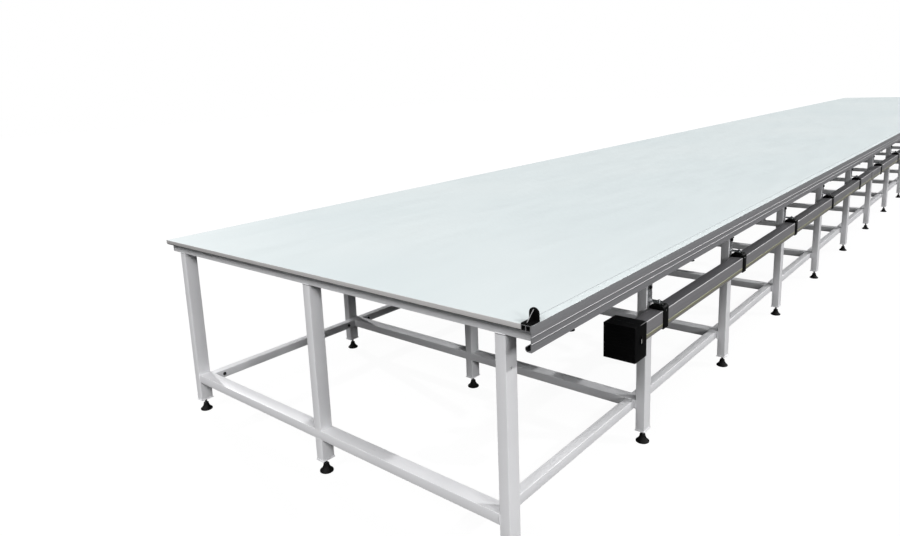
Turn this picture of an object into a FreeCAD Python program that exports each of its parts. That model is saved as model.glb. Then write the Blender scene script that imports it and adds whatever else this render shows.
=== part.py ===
import FreeCAD
import Part
import os

# Fabric cutting table with an edge rail for a travelling machine and an enclosed power rail.
#
# Lengths are millimetres. X runs across the table, with both rails on the +X side, Y runs
# along it from the near end to the far end, and Z is up. The origin lies on the floor below
# the middle of the table. Every size that can be set by itself stands once in SIZES, and
# every place is worked out from those sizes.

SIZES = {
    # Whole table
    "table_length": 15000,
    "table_height": 880,
    "row_spacing": 940,
    "left_overhang": 85,
    "end_overhang": 60,
    "bay_count": 15,
    # Welded frames
    "leg_width": 40,
    "tube_depth": 60,
    "tube_wall": 2,
    "beam_height": 40,
    "beam_inset": 3,
    "beam_cap": 2,
    "stretcher_height": 40,
    "stretcher_top": 198,
    # Lengthwise stretchers and the spigots that carry them
    "side_stretcher": 40,
    "side_gap": 8,
    "spigot_length": 80,
    "spigot_fit": 0.5,
    "spigot_bolt_reach": 50,
    # Levelling feet
    "leg_bottom": 58,
    "foot_plate": 4,
    "plate_lip": 1,
    "weld_nut_height": 10,
    "weld_nut_radius": 10.4,
    "stud_radius": 6,
    "stud_above_plate": 60,
    "stud_seat": 14,
    "thread_fit": 0.08,
    "lock_nut_height": 7,
    "lock_nut_radius": 11,
    "pad_radius": 29,
    "pad_rim": 5,
    "pad_neck_radius": 12,
    "pad_shoulder": 28,
    "pad_height": 36,
    # Table top
    "board_thick": 20,
    "bays_per_board": 3,
    "band_thick": 2,
    "band_height": 16,
    "board_screw_depth": 14,
    # Edge rail
    "fascia_reach": 135,
    "fascia_height": 82,
    "fascia_thick": 3,
    "bead_radius": 1.5,
    "bead_groove": 1,
    "upper_bead_drop": 35,
    "lower_bead_drop": 56,
    "rail_box_width": 34,
    "rail_wall": 2,
    "hook_radius": 10,
    "hook_wall": 2,
    "bays_per_rail": 5,
    "rail_screw_depth": 10,
    # Screws of the top and the rail
    "screw_radius": 2.5,
    "screw_fit": 0.05,
    "screw_row": 15,
    "screw_head_radius": 5,
    "screw_head_height": 3,
    # End stops
    "stop_base_thick": 4,
    "stop_length": 47,
    "stop_plate_thick": 5,
    "stop_plate_height": 42,
    "stop_plate_inset": 1,
    "stop_web": 4,
    # Power rail housing
    "housing_gap": 14,
    "housing_width": 56,
    "housing_height": 76,
    "housing_drop": 259,
    "housing_wall": 2,
    "housing_lip": 20,
    "housing_count": 3,
    "housing_end_gap": 15,
    "carrier_thick": 4,
    "carrier_height": 60,
    "strip_thick": 1.5,
    "strip_height": 12,
    "strip_pitch": 28,
    "strip_lead": 25,
    # Hangers, covers and brackets of the power rail
    "hanger_length": 50,
    "hanger_thick": 3,
    "hanger_play": 0.3,
    "hanger_lip": 6,
    "hanger_crown": 18,
    "hanger_corner": 12,
    "cover_sleeve_length": 120,
    "cover_sleeve_thick": 1.5,
    "end_cap_thick": 3,
    "end_cap_lap": 15,
    "strap_width": 36,
    "strap_thick": 3,
    "strap_gap": 44,
    "strap_hole_radius": 4.5,
    "strap_hole_pitch": 25,
    "strap_hole_reach": 21,
    "arm_hole_clear": 30,
    "arm_overlap": 12,
    "hanger_stud_radius": 4,
    "hanger_stud_seat": 10,
    "hanger_stud_tail": 3,
    "nut_radius": 7.5,
    "nut_height": 6.5,
    "nut_fit": 0.05,
    # Bolts of the brackets and stretchers
    "bolt_radius": 4,
    "bolt_fit": 0.2,
    "bolt_length": 16,
    "bolt_head_radius": 7.5,
    "bolt_head_height": 5.3,
    # Feed box
    "box_setback": 180,
    "box_width": 134,
    "box_depth": 100,
    "box_height": 144,
    "box_rise": 3,
    "box_proud": 1,
    "box_wall": 3,
    "cover_depth": 49,
    "cover_rib_depth": 0.8,
    "cover_rib_height": 2,
    "cover_rib_count": 9,
    "window_inset": 8,
    "hinge_offset": 5,
    "hinge_radius": 4,
    "hinge_pin_radius": 2,
    "hinge_fit": 0.08,
    "knuckle_length": 25,
    "knuckle_gap": 0.5,
    "captive_screw_radius": 5,
    "captive_screw_height": 1.5,
    "latch_width": 24,
    "latch_reach": 14,
    "latch_thick": 3,
    "latch_drop": 66,
    "latch_barrel_radius": 3,
    "latch_pin_radius": 1.5,
    "latch_gap": 0.5,
    "ear_length": 4,
    "terminal_width": 50,
    "terminal_height": 26,
    "terminal_depth": 20,
    "terminal_margin": 8,
    "terminal_hole_radius": 3,
    "gland_radius": 10,
    "gland_fit": 0.05,
    "gland_hex_radius": 14,
    "gland_hex_height": 8,
    "gland_cap_radius": 11,
    "gland_cap_height": 16,
    "gland_bore_radius": 5,
    "gland_nut_height": 5,
}

# Shares of the board's width, from its left edge, where the screws stand in each beam
BOARD_SCREW_SHARES = (0.08, 0.36, 0.64, 0.92)
# Angles where the rolled hook of the rail is divided, in degrees from +X
HOOK_ANGLES = (270, 227, 183, 140)
# Holes of the bracket, counted from the highest, that take its bolts
BOLTED_HOLES = (0, 2)
HEX_SIDES = 6
HALF_TURN = 180
FULL_TURN = 360
TERMINAL_WAYS = 4
OVERRUN = 1

doc = FreeCAD.newDocument("cutting_table")
sheet = doc.addObject("Spreadsheet::Sheet", "Sizes")
for row, (alias, number) in enumerate(SIZES.items(), start=1):
    sheet.set(f"A{row}", alias.replace("_", " "))
    sheet.set(f"B{row}", str(number))
    sheet.setAlias(f"B{row}", alias)
doc.recompute()


class Sheet:
    """Reads the sheet's sizes by their names."""

    def __getattr__(self, alias):
        return float(sheet.get(alias))


s = Sheet()
nodes = []


# Helpers for shapes

def vector(x=0.0, y=0.0, z=0.0):
    """A point or a direction."""
    return FreeCAD.Vector(x, y, z)


def bind(feature, **formulas):
    """Binds each named property to a formula, whose {names} are sizes of the sheet."""
    for prop, formula in formulas.items():
        feature.setExpression(prop, formula.format_map({name: f"Sizes.{name}" for name in SIZES}))


def block(name, along_x, along_y, along_z, corner):
    """A box with bound sides, standing on its lowest corner."""
    feature = doc.addObject("Part::Box", name)
    bind(feature, Length=along_x, Width=along_y, Height=along_z)
    feature.Placement.Base = corner
    return feature


def rod(name, radius, length, start, axis=None):
    """A round bar with bound sizes, from its start point along an axis, +Z if none is given."""
    feature = doc.addObject("Part::Cylinder", name)
    bind(feature, Radius=radius, Height=length)
    turn = FreeCAD.Rotation(vector(z=1), axis or vector(z=1))
    feature.Placement = FreeCAD.Placement(start, turn)
    return feature


def hexagon(name, radius, height, start, axis=None):
    """A hexagonal prism with bound sizes, from its start point along an axis."""
    feature = doc.addObject("Part::Prism", name)
    feature.Polygon = HEX_SIDES
    bind(feature, Circumradius=radius, Height=height)
    turn = FreeCAD.Rotation(vector(z=1), axis or vector(z=1))
    feature.Placement = FreeCAD.Placement(start, turn)
    return feature


def cut(name, base, *tools):
    """The base with every tool taken away."""
    for index, tool in enumerate(tools, start=1):
        feature = doc.addObject("Part::Cut", f"{name}_{index}")
        feature.Base = base
        feature.Tool = tool
        base = feature
    return base


def fuse(name, *pieces):
    """One solid from pieces that touch."""
    feature = doc.addObject("Part::MultiFuse", name)
    feature.Shapes = list(pieces)
    return feature


def moved(piece, x=0.0, y=0.0, z=0.0):
    """A copy of a piece's shape, moved."""
    shape = piece.Shape if hasattr(piece, "Shape") else piece
    return shape.translated(vector(x, y, z))


def mirrored_along(shape):
    """A copy of a shape, mirrored end for end."""
    return shape.mirror(vector(), vector(y=1))


def drilled(shape, radius, length, starts, axis=None):
    """A shape with round holes, each from its start point along an axis."""
    holes = [Part.makeCylinder(radius, length, start, axis or vector(z=1)) for start in starts]
    return shape.cut(Part.makeCompound(holes)) if holes else shape


def solids_of(shapes):
    """Every solid of a list of shapes."""
    return [solid for shape in shapes for solid in shape.Solids]


def node(label, shapes, place=None):
    """A named sub-part made of separate solids, moved to its place."""
    feature = doc.addObject("Part::Feature", label)
    feature.Label = label
    feature.Shape = Part.makeCompound(solids_of(shapes))
    feature.Placement = FreeCAD.Placement(place or vector(), FreeCAD.Rotation())
    nodes.append(feature)
    return feature


# Places that the sizes give

bays = int(s.bay_count)
frame_count = bays + 1
right_reach = s.fascia_reach + s.bead_radius
half_width = (s.left_overhang + s.row_spacing + s.row_spacing + right_reach) / 2
left_row = -half_width + s.left_overhang
middle_row = left_row + s.row_spacing
right_row = middle_row + s.row_spacing
near_end = -s.table_length / 2
bay = (s.table_length - 2 * s.end_overhang) / bays
frame_places = [near_end + s.end_overhang + bay * index for index in range(frame_count)]

half_leg = s.leg_width / 2
half_depth = s.tube_depth / 2
board_bottom = s.table_height - s.board_thick
beam_bottom = board_bottom - s.beam_height
leg_start = s.leg_bottom + s.foot_plate
stretcher_bottom = s.stretcher_top - s.stretcher_height
fascia_face = right_row + s.fascia_reach
fascia_back = fascia_face - s.fascia_thick
box_side = fascia_back - s.rail_box_width
beam_left = -half_width + s.beam_inset
board_left = -half_width + s.band_thick
board_width = box_side - board_left
cell_width = (s.rail_box_width - 3 * s.rail_wall) / 2
rail_screw_x = box_side + s.rail_wall + cell_width / 2
board_screw_x = [board_left + share * board_width for share in BOARD_SCREW_SHARES]

housing_inner = right_row + half_leg + s.housing_gap
housing_outer = housing_inner + s.housing_width
housing_middle = (housing_inner + housing_outer) / 2
housing_top = s.table_height - s.housing_drop
housing_bottom = housing_top - s.housing_height
box_outer = housing_outer + s.box_proud
box_inner = box_outer - s.box_width
box_top = housing_top + s.box_rise
box_bottom = box_top - s.box_height
box_far = frame_places[1] - s.box_setback
box_near = box_far - s.box_depth
box_seam = box_near + s.cover_depth
housing_start = box_far
housing_end = -near_end - s.housing_end_gap
hanger_places = frame_places[1:]
hanger_top = housing_top + s.hanger_play + s.hanger_crown
arm_bottom = hanger_top + s.nut_height
arm_top = arm_bottom + s.strap_thick
strap_top = beam_bottom - s.strap_gap
strap_hole_top = strap_top - s.strap_hole_reach
strap_hole_room = strap_hole_top - arm_bottom - s.arm_hole_clear
strap_holes = [strap_hole_top - s.strap_hole_pitch * index
               for index in range(int(strap_hole_room / s.strap_hole_pitch) + 1)]
strap_bolt_heights = [strap_holes[index] for index in BOLTED_HOLES]


# Welded frame: three legs on foot plates, a top beam and two lower stretchers

def square_tube(name, sides, corner, axis):
    """A tube from bound outer sides, open at both ends along its axis ('x', 'y' or 'z')."""
    outer = block(name + "_outer", *sides, corner)
    inner_sides = []
    inner_corner = []
    for letter, side, low in zip("xyz", sides, corner):
        if letter == axis:
            inner_sides.append(side)
            inner_corner.append(low)
        else:
            inner_sides.append(f"{side} - 2 * {{tube_wall}}")
            inner_corner.append(low + s.tube_wall)
    inner = block(name + "_bore", *inner_sides, vector(*inner_corner))
    return cut(name, outer, inner)


leg_height = "{table_height} - {board_thick} - {beam_height} - {leg_bottom} - {foot_plate}"
leg = square_tube("leg", ("{leg_width}", "{tube_depth}", leg_height),
                  vector(-half_leg, -half_depth, leg_start), "z")
leg_holes = [rod(f"leg_hole_{index}", "{bolt_radius} + {bolt_fit}", "{leg_width}",
                 vector(z=height), vector(x=1))
             for index, height in enumerate(strap_bolt_heights, start=1)]
spare_leg = cut("spare_leg", leg, leg_holes[-1])
rail_leg = cut("rail_leg", spare_leg, *leg_holes[:-1])

plate = block("foot_plate_sheet", "{leg_width} + 2 * {plate_lip}", "{tube_depth} + 2 * {plate_lip}",
              "{foot_plate}", vector(-half_leg - s.plate_lip, -half_depth - s.plate_lip, s.leg_bottom))
weld_nut = hexagon("weld_nut", "{weld_nut_radius}", "{weld_nut_height}", vector(z=leg_start))
plate_with_nut = fuse("plate_with_nut", plate, weld_nut)
plate_bore = rod("plate_bore", "{stud_radius} + {thread_fit}",
                 "{foot_plate} + {weld_nut_height}", vector(z=s.leg_bottom))
foot_plate = cut("foot_plate_piece", plate_with_nut, plate_bore)

beam_length = ("{left_overhang} + 2 * {row_spacing} + {fascia_reach} - {fascia_thick}"
               " - {beam_inset} - {beam_cap}")
beam = square_tube("beam", (beam_length, "{tube_depth}", "{beam_height}"),
                   vector(beam_left + s.beam_cap, -half_depth, beam_bottom), "x")
beam_cap = block("beam_cap_piece", "{beam_cap}", "{tube_depth}", "{beam_height}",
                 vector(beam_left, -half_depth, beam_bottom))
stretcher = square_tube("stretcher", ("{row_spacing} - {leg_width}", "{tube_depth}", "{stretcher_height}"),
                        vector(left_row + half_leg, -half_depth, stretcher_bottom), "x")

# Spigots stand on the stretcher's faces, inboard of the outer legs
side_centers = (left_row + half_leg + s.side_gap + s.side_stretcher / 2,
                right_row - half_leg - s.side_gap - s.side_stretcher / 2)
spigot_side = "{side_stretcher} - 2 * {tube_wall} - 2 * {spigot_fit}"
spigot_inset = s.tube_wall + s.spigot_fit
spigot_low = s.stretcher_top - s.side_stretcher + spigot_inset
spigot_half = s.side_stretcher / 2 - spigot_inset
side_axis_height = s.stretcher_top - s.side_stretcher / 2
spigot = square_tube("spigot", (spigot_side, "{spigot_length}", spigot_side),
                     vector(-spigot_half, half_depth, spigot_low), "y")
spigot_hole = rod("spigot_hole", "{bolt_radius} + {bolt_fit}", "{side_stretcher}",
                  vector(0, half_depth + s.spigot_bolt_reach, side_axis_height), vector(x=1))
spigot_piece = cut("spigot_piece", spigot, spigot_hole)
doc.recompute()


def screw_row_of(index):
    """The row of a beam's screw, in turn before and after the beam's middle."""
    return s.screw_row if index % 2 else -s.screw_row


def turned_over(shape):
    """A shape turned half round the upright axis."""
    turned = shape.copy()
    turned.rotate(vector(), vector(z=1), HALF_TURN)
    return turned


def frame_shapes(first, last):
    """The tubes and plates of one frame. The end frames have spigots on one side only.

    The first frame carries no bracket, and its rail leg has only the lower bolt hole, unused.
    """
    beam_starts = [vector(x, screw_row_of(index), beam_bottom)
                   for index, x in enumerate(board_screw_x)]
    beam_starts += [vector(rail_screw_x, side * s.screw_row, beam_bottom) for side in (-1, 1)]
    shapes = [drilled(beam.Shape, s.screw_radius + s.screw_fit, s.beam_height, beam_starts),
              beam_cap.Shape,
              stretcher.Shape,
              moved(stretcher, x=s.row_spacing)]
    right_leg = spare_leg if first else rail_leg
    for row_x, leg_piece in ((left_row, leg), (middle_row, leg), (right_row, right_leg)):
        shapes.append(moved(leg_piece, x=row_x))
        shapes.append(moved(foot_plate, x=row_x))
    # The bolt holes of the spigots face the middle of the table
    for center, facing in zip(side_centers, (1, -1)):
        ahead = spigot_piece.Shape if facing > 0 else turned_over(mirrored_along(spigot_piece.Shape))
        if not last:
            shapes.append(moved(ahead, x=center))
        if not first:
            shapes.append(moved(mirrored_along(ahead), x=center))
    return shapes


for index, place in enumerate(frame_places):
    shapes = frame_shapes(index == 0, index == frame_count - 1)
    node(f"frame_{index + 1:02d}", shapes, vector(y=place))


# Levelling feet: a moulded bell on a threaded stud with a lock nut, three to a frame

def bell_pad():
    """The moulded bell of a foot, turned about its own axis, with a blind seat for the stud."""
    body = doc.addObject("PartDesign::Body", "pad_body")
    sketch = body.newObject("Sketcher::SketchObject", "pad_outline")
    upright = next(item for item in body.Origin.OriginFeatures if item.Role == "XZ_Plane")
    sketch.AttachmentSupport = [(upright, "")]
    sketch.MapMode = "FlatFace"
    seat = s.stud_radius + s.thread_fit
    waist = vector((s.pad_radius + s.pad_neck_radius) / 2 - s.pad_rim / 2, (s.pad_rim + s.pad_shoulder) / 2)
    outline = [vector(0, 0), vector(s.pad_radius, 0), vector(s.pad_radius, s.pad_rim),
               vector(s.pad_neck_radius, s.pad_shoulder), vector(s.pad_neck_radius, s.pad_height),
               vector(seat, s.pad_height), vector(seat, s.stud_seat), vector(0, s.stud_seat)]
    for start, end in zip(outline, outline[1:] + outline[:1]):
        if start.x == s.pad_radius and end.x == s.pad_neck_radius:
            sketch.addGeometry(Part.Arc(start, waist, end))
        else:
            sketch.addGeometry(Part.LineSegment(start, end))
    turn = body.newObject("PartDesign::Revolution", "pad_turn")
    turn.Profile = sketch
    turn.ReferenceAxis = (sketch, ["V_Axis"])
    turn.Angle = FULL_TURN
    return body


pad = bell_pad()
stud = rod("stud", "{stud_radius}", "{leg_bottom} + {stud_above_plate} - {stud_seat}", vector(z=s.stud_seat))
lock_nut_low = s.leg_bottom - s.lock_nut_height
lock_nut_block = hexagon("lock_nut_block", "{lock_nut_radius}", "{lock_nut_height}", vector(z=lock_nut_low))
lock_nut_bore = rod("lock_nut_bore", "{stud_radius} + {thread_fit}", "{lock_nut_height}",
                    vector(z=lock_nut_low))
lock_nut = cut("lock_nut", lock_nut_block, lock_nut_bore)
doc.recompute()

foot_shapes = [moved(piece, x=row_x)
               for row_x in (left_row, middle_row, right_row)
               for piece in (pad, stud, lock_nut)]
for index, place in enumerate(frame_places, start=1):
    node(f"feet_{index:02d}", foot_shapes, vector(y=place))


# Lengthwise stretchers between the frames, one on each side of the table

side_length = bay - s.tube_depth
side_tube = Part.makeBox(s.side_stretcher, side_length, s.side_stretcher,
                         vector(-s.side_stretcher / 2, 0, s.stretcher_top - s.side_stretcher))
side_bore_side = s.side_stretcher - 2 * s.tube_wall
side_bore = Part.makeBox(side_bore_side, side_length, side_bore_side,
                         vector(-side_bore_side / 2, 0,
                                s.stretcher_top - s.side_stretcher + s.tube_wall))
side_tube = side_tube.cut(side_bore)
side_bolt_places = (s.spigot_bolt_reach, side_length - s.spigot_bolt_reach)
side_shapes = []
for center, facing in zip(side_centers, (1, -1)):
    starts = [vector(0, place, side_axis_height) for place in side_bolt_places]
    tube = drilled(side_tube, s.bolt_radius + s.bolt_fit, s.side_stretcher, starts, vector(x=facing))
    for place in frame_places[:-1]:
        side_shapes.append(moved(tube, x=center, y=place + half_depth))
node("side_stretchers", side_shapes)


# Bolts: a hexagon head, a shank and a nut on the far side of what it clamps

def bolt_shapes(head_face, direction, grip, middle_y, height):
    """A bolt whose head bears on a face, and its nut beyond the grip, along X."""
    start = vector(head_face, middle_y, height)
    axis = vector(x=direction)
    shank = Part.makeCylinder(s.bolt_radius, s.bolt_length, start, axis)
    head = hex_prism(s.bolt_head_radius, s.bolt_head_height, start, vector(x=-direction))
    nut_start = vector(head_face + direction * grip, middle_y, height)
    nut = hex_prism(s.nut_radius, s.nut_height, nut_start, axis)
    nut = nut.cut(Part.makeCylinder(s.bolt_radius + s.nut_fit, s.nut_height, nut_start, axis))
    return [head.fuse(shank), nut]


def hex_prism(radius, height, start, axis):
    """A hexagonal prism along an axis."""
    circle = Part.Circle(start, axis, radius).toShape()
    corners = circle.discretize(HEX_SIDES + 1)
    face = Part.Face(Part.makePolygon(corners))
    return face.extrude(vector(axis.x * height, axis.y * height, axis.z * height))


frame_bolts = []
strap_face = right_row + half_leg + s.strap_thick
for place in hanger_places:
    for height in strap_bolt_heights:
        frame_bolts += bolt_shapes(strap_face, -1, s.strap_thick + s.tube_wall, place, height)
spigot_grip = s.tube_wall + s.spigot_fit + s.tube_wall
for center, facing in zip(side_centers, (1, -1)):
    face = center + facing * s.side_stretcher / 2
    for place in frame_places[:-1]:
        for reach in side_bolt_places:
            frame_bolts += bolt_shapes(face, -facing, spigot_grip, place + half_depth + reach,
                                       side_axis_height)
node("frame_bolts", frame_bolts)


# Table top: boards that meet over beams, with pilot holes, and a band round their edges that
# leaves the lowest part of the boards bare

bays_per_board = int(s.bays_per_board)
board_ends = [near_end + s.band_thick]
board_ends += [frame_places[index] for index in range(bays_per_board, bays, bays_per_board)]
board_ends += [-near_end - s.band_thick]
board_pairs = list(zip(board_ends, board_ends[1:]))
for number, (start, end) in enumerate(board_pairs, start=1):
    board = Part.makeBox(board_width, end - start, s.board_thick, vector(board_left, start, board_bottom))
    pilots = [vector(x, place + screw_row_of(index), board_bottom)
              for place in frame_places
              for index, x in enumerate(board_screw_x)
              if start < place + screw_row_of(index) < end]
    node(f"top_board_{number}",
         [drilled(board, s.screw_radius + s.screw_fit, s.board_screw_depth, pilots)])

band_bottom = s.table_height - s.band_height
bands = [Part.makeBox(s.band_thick, end - start, s.band_height, vector(-half_width, start, band_bottom))
         for start, end in board_pairs]
band_length = board_width + s.band_thick
for start in (near_end, -near_end - s.band_thick):
    bands.append(Part.makeBox(band_length, s.band_thick, s.band_height,
                              vector(-half_width, start, band_bottom)))
node("edge_bands", bands)


# Edge rail: a two-cell box beside the boards, a beaded fascia and a rolled hook below

def fascia_face_shape():
    """The fascia's section: flat at the back, with two beads and a groove under each."""
    top = s.table_height
    bottom = top - s.fascia_height
    corner = vector(fascia_back, 0, top)
    edges = []
    here = vector(fascia_face, 0, top)
    edges.append(Part.LineSegment(corner, here))
    for drop in (s.upper_bead_drop, s.lower_bead_drop):
        middle = top - drop
        bead_top = vector(fascia_face, 0, middle + s.bead_radius)
        bead_low = vector(fascia_face, 0, middle - s.bead_radius)
        groove_low = vector(fascia_face, 0, middle - s.bead_radius - 2 * s.bead_groove)
        groove_back = vector(fascia_face - s.bead_groove, 0, middle - s.bead_radius - s.bead_groove)
        edges.append(Part.LineSegment(here, bead_top))
        edges.append(Part.Arc(bead_top, vector(fascia_face + s.bead_radius, 0, middle), bead_low))
        edges.append(Part.Arc(bead_low, groove_back, groove_low))
        here = groove_low
    foot = vector(fascia_face, 0, bottom)
    back = vector(fascia_back, 0, bottom)
    edges.append(Part.LineSegment(here, foot))
    edges.append(Part.LineSegment(foot, back))
    edges.append(Part.LineSegment(back, corner))
    return Part.Face(Part.Wire([edge.toShape() for edge in edges]))


def hook_arc_face(first, last):
    """A section of the rolled hook between two angles, in degrees from +X."""
    center_x = fascia_back - s.hook_radius
    center_z = s.table_height - s.fascia_height + s.hook_radius
    inner_radius = s.hook_radius - s.hook_wall

    def on_circle(radius, angle):
        arm = FreeCAD.Rotation(vector(y=-1), angle).multVec(vector(x=radius))
        return vector(center_x + arm.x, 0, center_z + arm.z)

    middle = (first + last) / 2
    outer = Part.Arc(on_circle(s.hook_radius, first), on_circle(s.hook_radius, middle),
                     on_circle(s.hook_radius, last))
    inner = Part.Arc(on_circle(inner_radius, last), on_circle(inner_radius, middle),
                     on_circle(inner_radius, first))
    tip = Part.LineSegment(on_circle(s.hook_radius, last), on_circle(inner_radius, last))
    root = Part.LineSegment(on_circle(inner_radius, first), on_circle(s.hook_radius, first))
    return Part.Face(Part.Wire([edge.toShape() for edge in (outer, tip, inner, root)]))


rail_sections = [fascia_face_shape()]
rail_sections += [hook_arc_face(first, last) for first, last in zip(HOOK_ANGLES, HOOK_ANGLES[1:])]


def rail_box(start, end):
    """The two-cell box of one rail length, drilled from below for its screws."""
    length = end - start
    body = Part.makeBox(s.rail_box_width, length, s.board_thick, vector(box_side, start, board_bottom))
    cell_height = s.board_thick - 2 * s.rail_wall
    for index in range(2):
        low_x = box_side + s.rail_wall + index * (cell_width + s.rail_wall)
        cell = Part.makeBox(cell_width, length, cell_height,
                            vector(low_x, start, board_bottom + s.rail_wall))
        body = body.cut(cell)
    starts = [vector(rail_screw_x, place + side * s.screw_row, board_bottom)
              for place in frame_places
              for side in (-1, 1)
              if start < place + side * s.screw_row < end]
    return drilled(body, s.screw_radius + s.screw_fit, s.rail_wall, starts)


bays_per_rail = int(s.bays_per_rail)
rail_ends = [near_end]
rail_ends += [frame_places[index] for index in range(bays_per_rail, bays, bays_per_rail)]
rail_ends += [-near_end]
for number, (start, end) in enumerate(zip(rail_ends, rail_ends[1:]), start=1):
    shapes = [moved(face.extrude(vector(y=end - start)), y=start) for face in rail_sections]
    shapes.append(Part.makeBox(s.hook_radius, end - start, s.hook_wall,
                               vector(fascia_back - s.hook_radius, start,
                                      s.table_height - s.fascia_height)))
    shapes.append(rail_box(start, end))
    node(f"edge_rail_{number}", shapes)


# Screws from below the beams: long ones into the boards, shorter ones into the rail

def screw(x, y, depth):
    """A pan-headed screw from under a beam to a depth above the beam's top."""
    start = vector(x, y, beam_bottom)
    shank = Part.makeCylinder(s.screw_radius, s.beam_height + depth, start)
    head = Part.makeCylinder(s.screw_head_radius, s.screw_head_height,
                             vector(x, y, beam_bottom - s.screw_head_height))
    return shank.fuse(head)


screws = []
for place in frame_places:
    for index, x in enumerate(board_screw_x):
        screws.append(screw(x, place + screw_row_of(index), s.board_screw_depth))
    for side in (-1, 1):
        screws.append(screw(rail_screw_x, place + side * s.screw_row, s.rail_screw_depth))
node("top_screws", screws)


# End stops: a moulded base, an upright plate with a round top, and a sloping web

def end_stop():
    """The stop at the near end of the rail, facing the far end."""
    width = s.rail_box_width + s.fascia_thick
    low = s.table_height
    base = Part.makeBox(width, s.stop_length, s.stop_base_thick, vector(box_side, near_end, low))
    plate_low_x = box_side + s.stop_plate_inset
    plate_high_x = fascia_face - s.stop_plate_inset
    radius = (plate_high_x - plate_low_x) / 2
    shoulder = low + s.stop_plate_height - radius
    plate_y = near_end + s.stop_length - s.stop_plate_thick
    crown = vector((plate_low_x + plate_high_x) / 2, plate_y, low + s.stop_plate_height)
    left_top = vector(plate_low_x, plate_y, shoulder)
    right_top = vector(plate_high_x, plate_y, shoulder)
    left_low = vector(plate_low_x, plate_y, low)
    right_low = vector(plate_high_x, plate_y, low)
    edges = [Part.LineSegment(left_low, left_top), Part.Arc(left_top, crown, right_top),
             Part.LineSegment(right_top, right_low), Part.LineSegment(right_low, left_low)]
    face = Part.Face(Part.Wire([edge.toShape() for edge in edges]))
    upright = face.extrude(vector(y=s.stop_plate_thick))
    web_x = crown.x - s.stop_web / 2
    web_corners = [vector(web_x, near_end + s.stop_web, low + s.stop_base_thick),
                   vector(web_x, plate_y, low + s.stop_base_thick),
                   vector(web_x, plate_y, low + s.stop_plate_height - s.stop_web)]
    web = Part.Face(Part.makePolygon(web_corners + web_corners[:1])).extrude(vector(x=s.stop_web))
    return base.fuse(upright).fuse(web).removeSplitter()


near_stop = end_stop()
node("end_stops", [near_stop, mirrored_along(near_stop)])


# Power rail housing: a channel open below, in stock lengths, with its carriers and strips

def wall(low_x, high_x, low_z, high_z, start, end):
    """A flat strip along the table."""
    return Part.makeBox(high_x - low_x, end - start, high_z - low_z, vector(low_x, start, low_z))


housing_count = int(s.housing_count)
housing_pitch = (housing_end - housing_start) / housing_count
joints = [housing_start + housing_pitch * index for index in range(housing_count + 1)]
housing_lengths = list(zip(joints, joints[1:]))
web_low = housing_top - s.housing_wall
lip_top = housing_bottom + s.housing_wall
inner_face = housing_inner + s.housing_wall
outer_face = housing_outer - s.housing_wall
for number, (start, end) in enumerate(housing_lengths, start=1):
    node(f"conductor_housing_{number}", [
        wall(housing_inner, housing_outer, web_low, housing_top, start, end),
        wall(housing_inner, inner_face, lip_top, web_low, start, end),
        wall(outer_face, housing_outer, lip_top, web_low, start, end),
        wall(housing_inner, housing_inner + s.housing_lip, housing_bottom, lip_top, start, end),
        wall(housing_outer - s.housing_lip, housing_outer, housing_bottom, lip_top, start, end)])

carrier_low = (web_low + lip_top - s.carrier_height) / 2
carrier_high = carrier_low + s.carrier_height
strip_middles = [(web_low + lip_top) / 2 + side * s.strip_pitch / 2 for side in (-1, 1)]
carriers = []
strips = []
for start, end in housing_lengths:
    strip_start = start - s.strip_lead if start == housing_start else start
    carriers.append(wall(inner_face, inner_face + s.carrier_thick, carrier_low, carrier_high, start, end))
    carriers.append(wall(outer_face - s.carrier_thick, outer_face, carrier_low, carrier_high, start, end))
    for middle in strip_middles:
        low = middle - s.strip_height / 2
        high = middle + s.strip_height / 2
        left = inner_face + s.carrier_thick
        right = outer_face - s.carrier_thick
        strips.append(wall(left, left + s.strip_thick, low, high, strip_start, end))
        strips.append(wall(right - s.strip_thick, right, low, high, strip_start, end))
node("conductor_carriers", carriers)
node("conductor_strips", strips)


# Brackets: a perforated strap bolted to the leg and an arm over the housing

def bracket_shapes():
    """The strap and the arm of one bracket, about the leg's own middle."""
    strap = Part.makeBox(s.strap_thick, s.strap_width, strap_top - arm_bottom,
                         vector(right_row + half_leg, -s.strap_width / 2, arm_bottom))
    starts = [vector(right_row + half_leg, 0, height) for height in strap_holes]
    strap = drilled(strap, s.strap_hole_radius, s.strap_thick, starts, vector(x=1))
    arm_start = right_row + half_leg + s.strap_thick
    arm_end = housing_middle + s.arm_overlap
    arm = Part.makeBox(arm_end - arm_start, s.strap_width, s.strap_thick,
                       vector(arm_start, -s.strap_width / 2, arm_bottom))
    arm = drilled(arm, s.hanger_stud_radius + s.nut_fit, s.strap_thick,
                  [vector(housing_middle, 0, arm_bottom)])
    return [strap, arm]


brackets = [moved(shape, y=place) for place in hanger_places for shape in bracket_shapes()]
node("rail_brackets", brackets)


# Hangers, studs and covers of the housing

def saddle_shapes(length, thick, lip, start):
    """A cover down both sides of the housing, with lips under it, or else with a top across it."""
    play = s.hanger_play
    inner = housing_inner - play
    outer = housing_outer + play
    top = housing_top + play
    end = start + length
    low = housing_bottom - play - thick if lip else housing_bottom
    shapes = [] if lip else [wall(inner - thick, outer + thick, top, top + thick, start, end)]
    for near, far, toward in ((inner - thick, inner, 1), (outer, outer + thick, -1)):
        side = wall(near, far, low, top, start, end)
        if lip:
            root = far if toward > 0 else near - lip
            side = side.fuse(wall(root, root + lip, low, low + thick, start, end)).removeSplitter()
        shapes.append(side)
    return shapes


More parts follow.
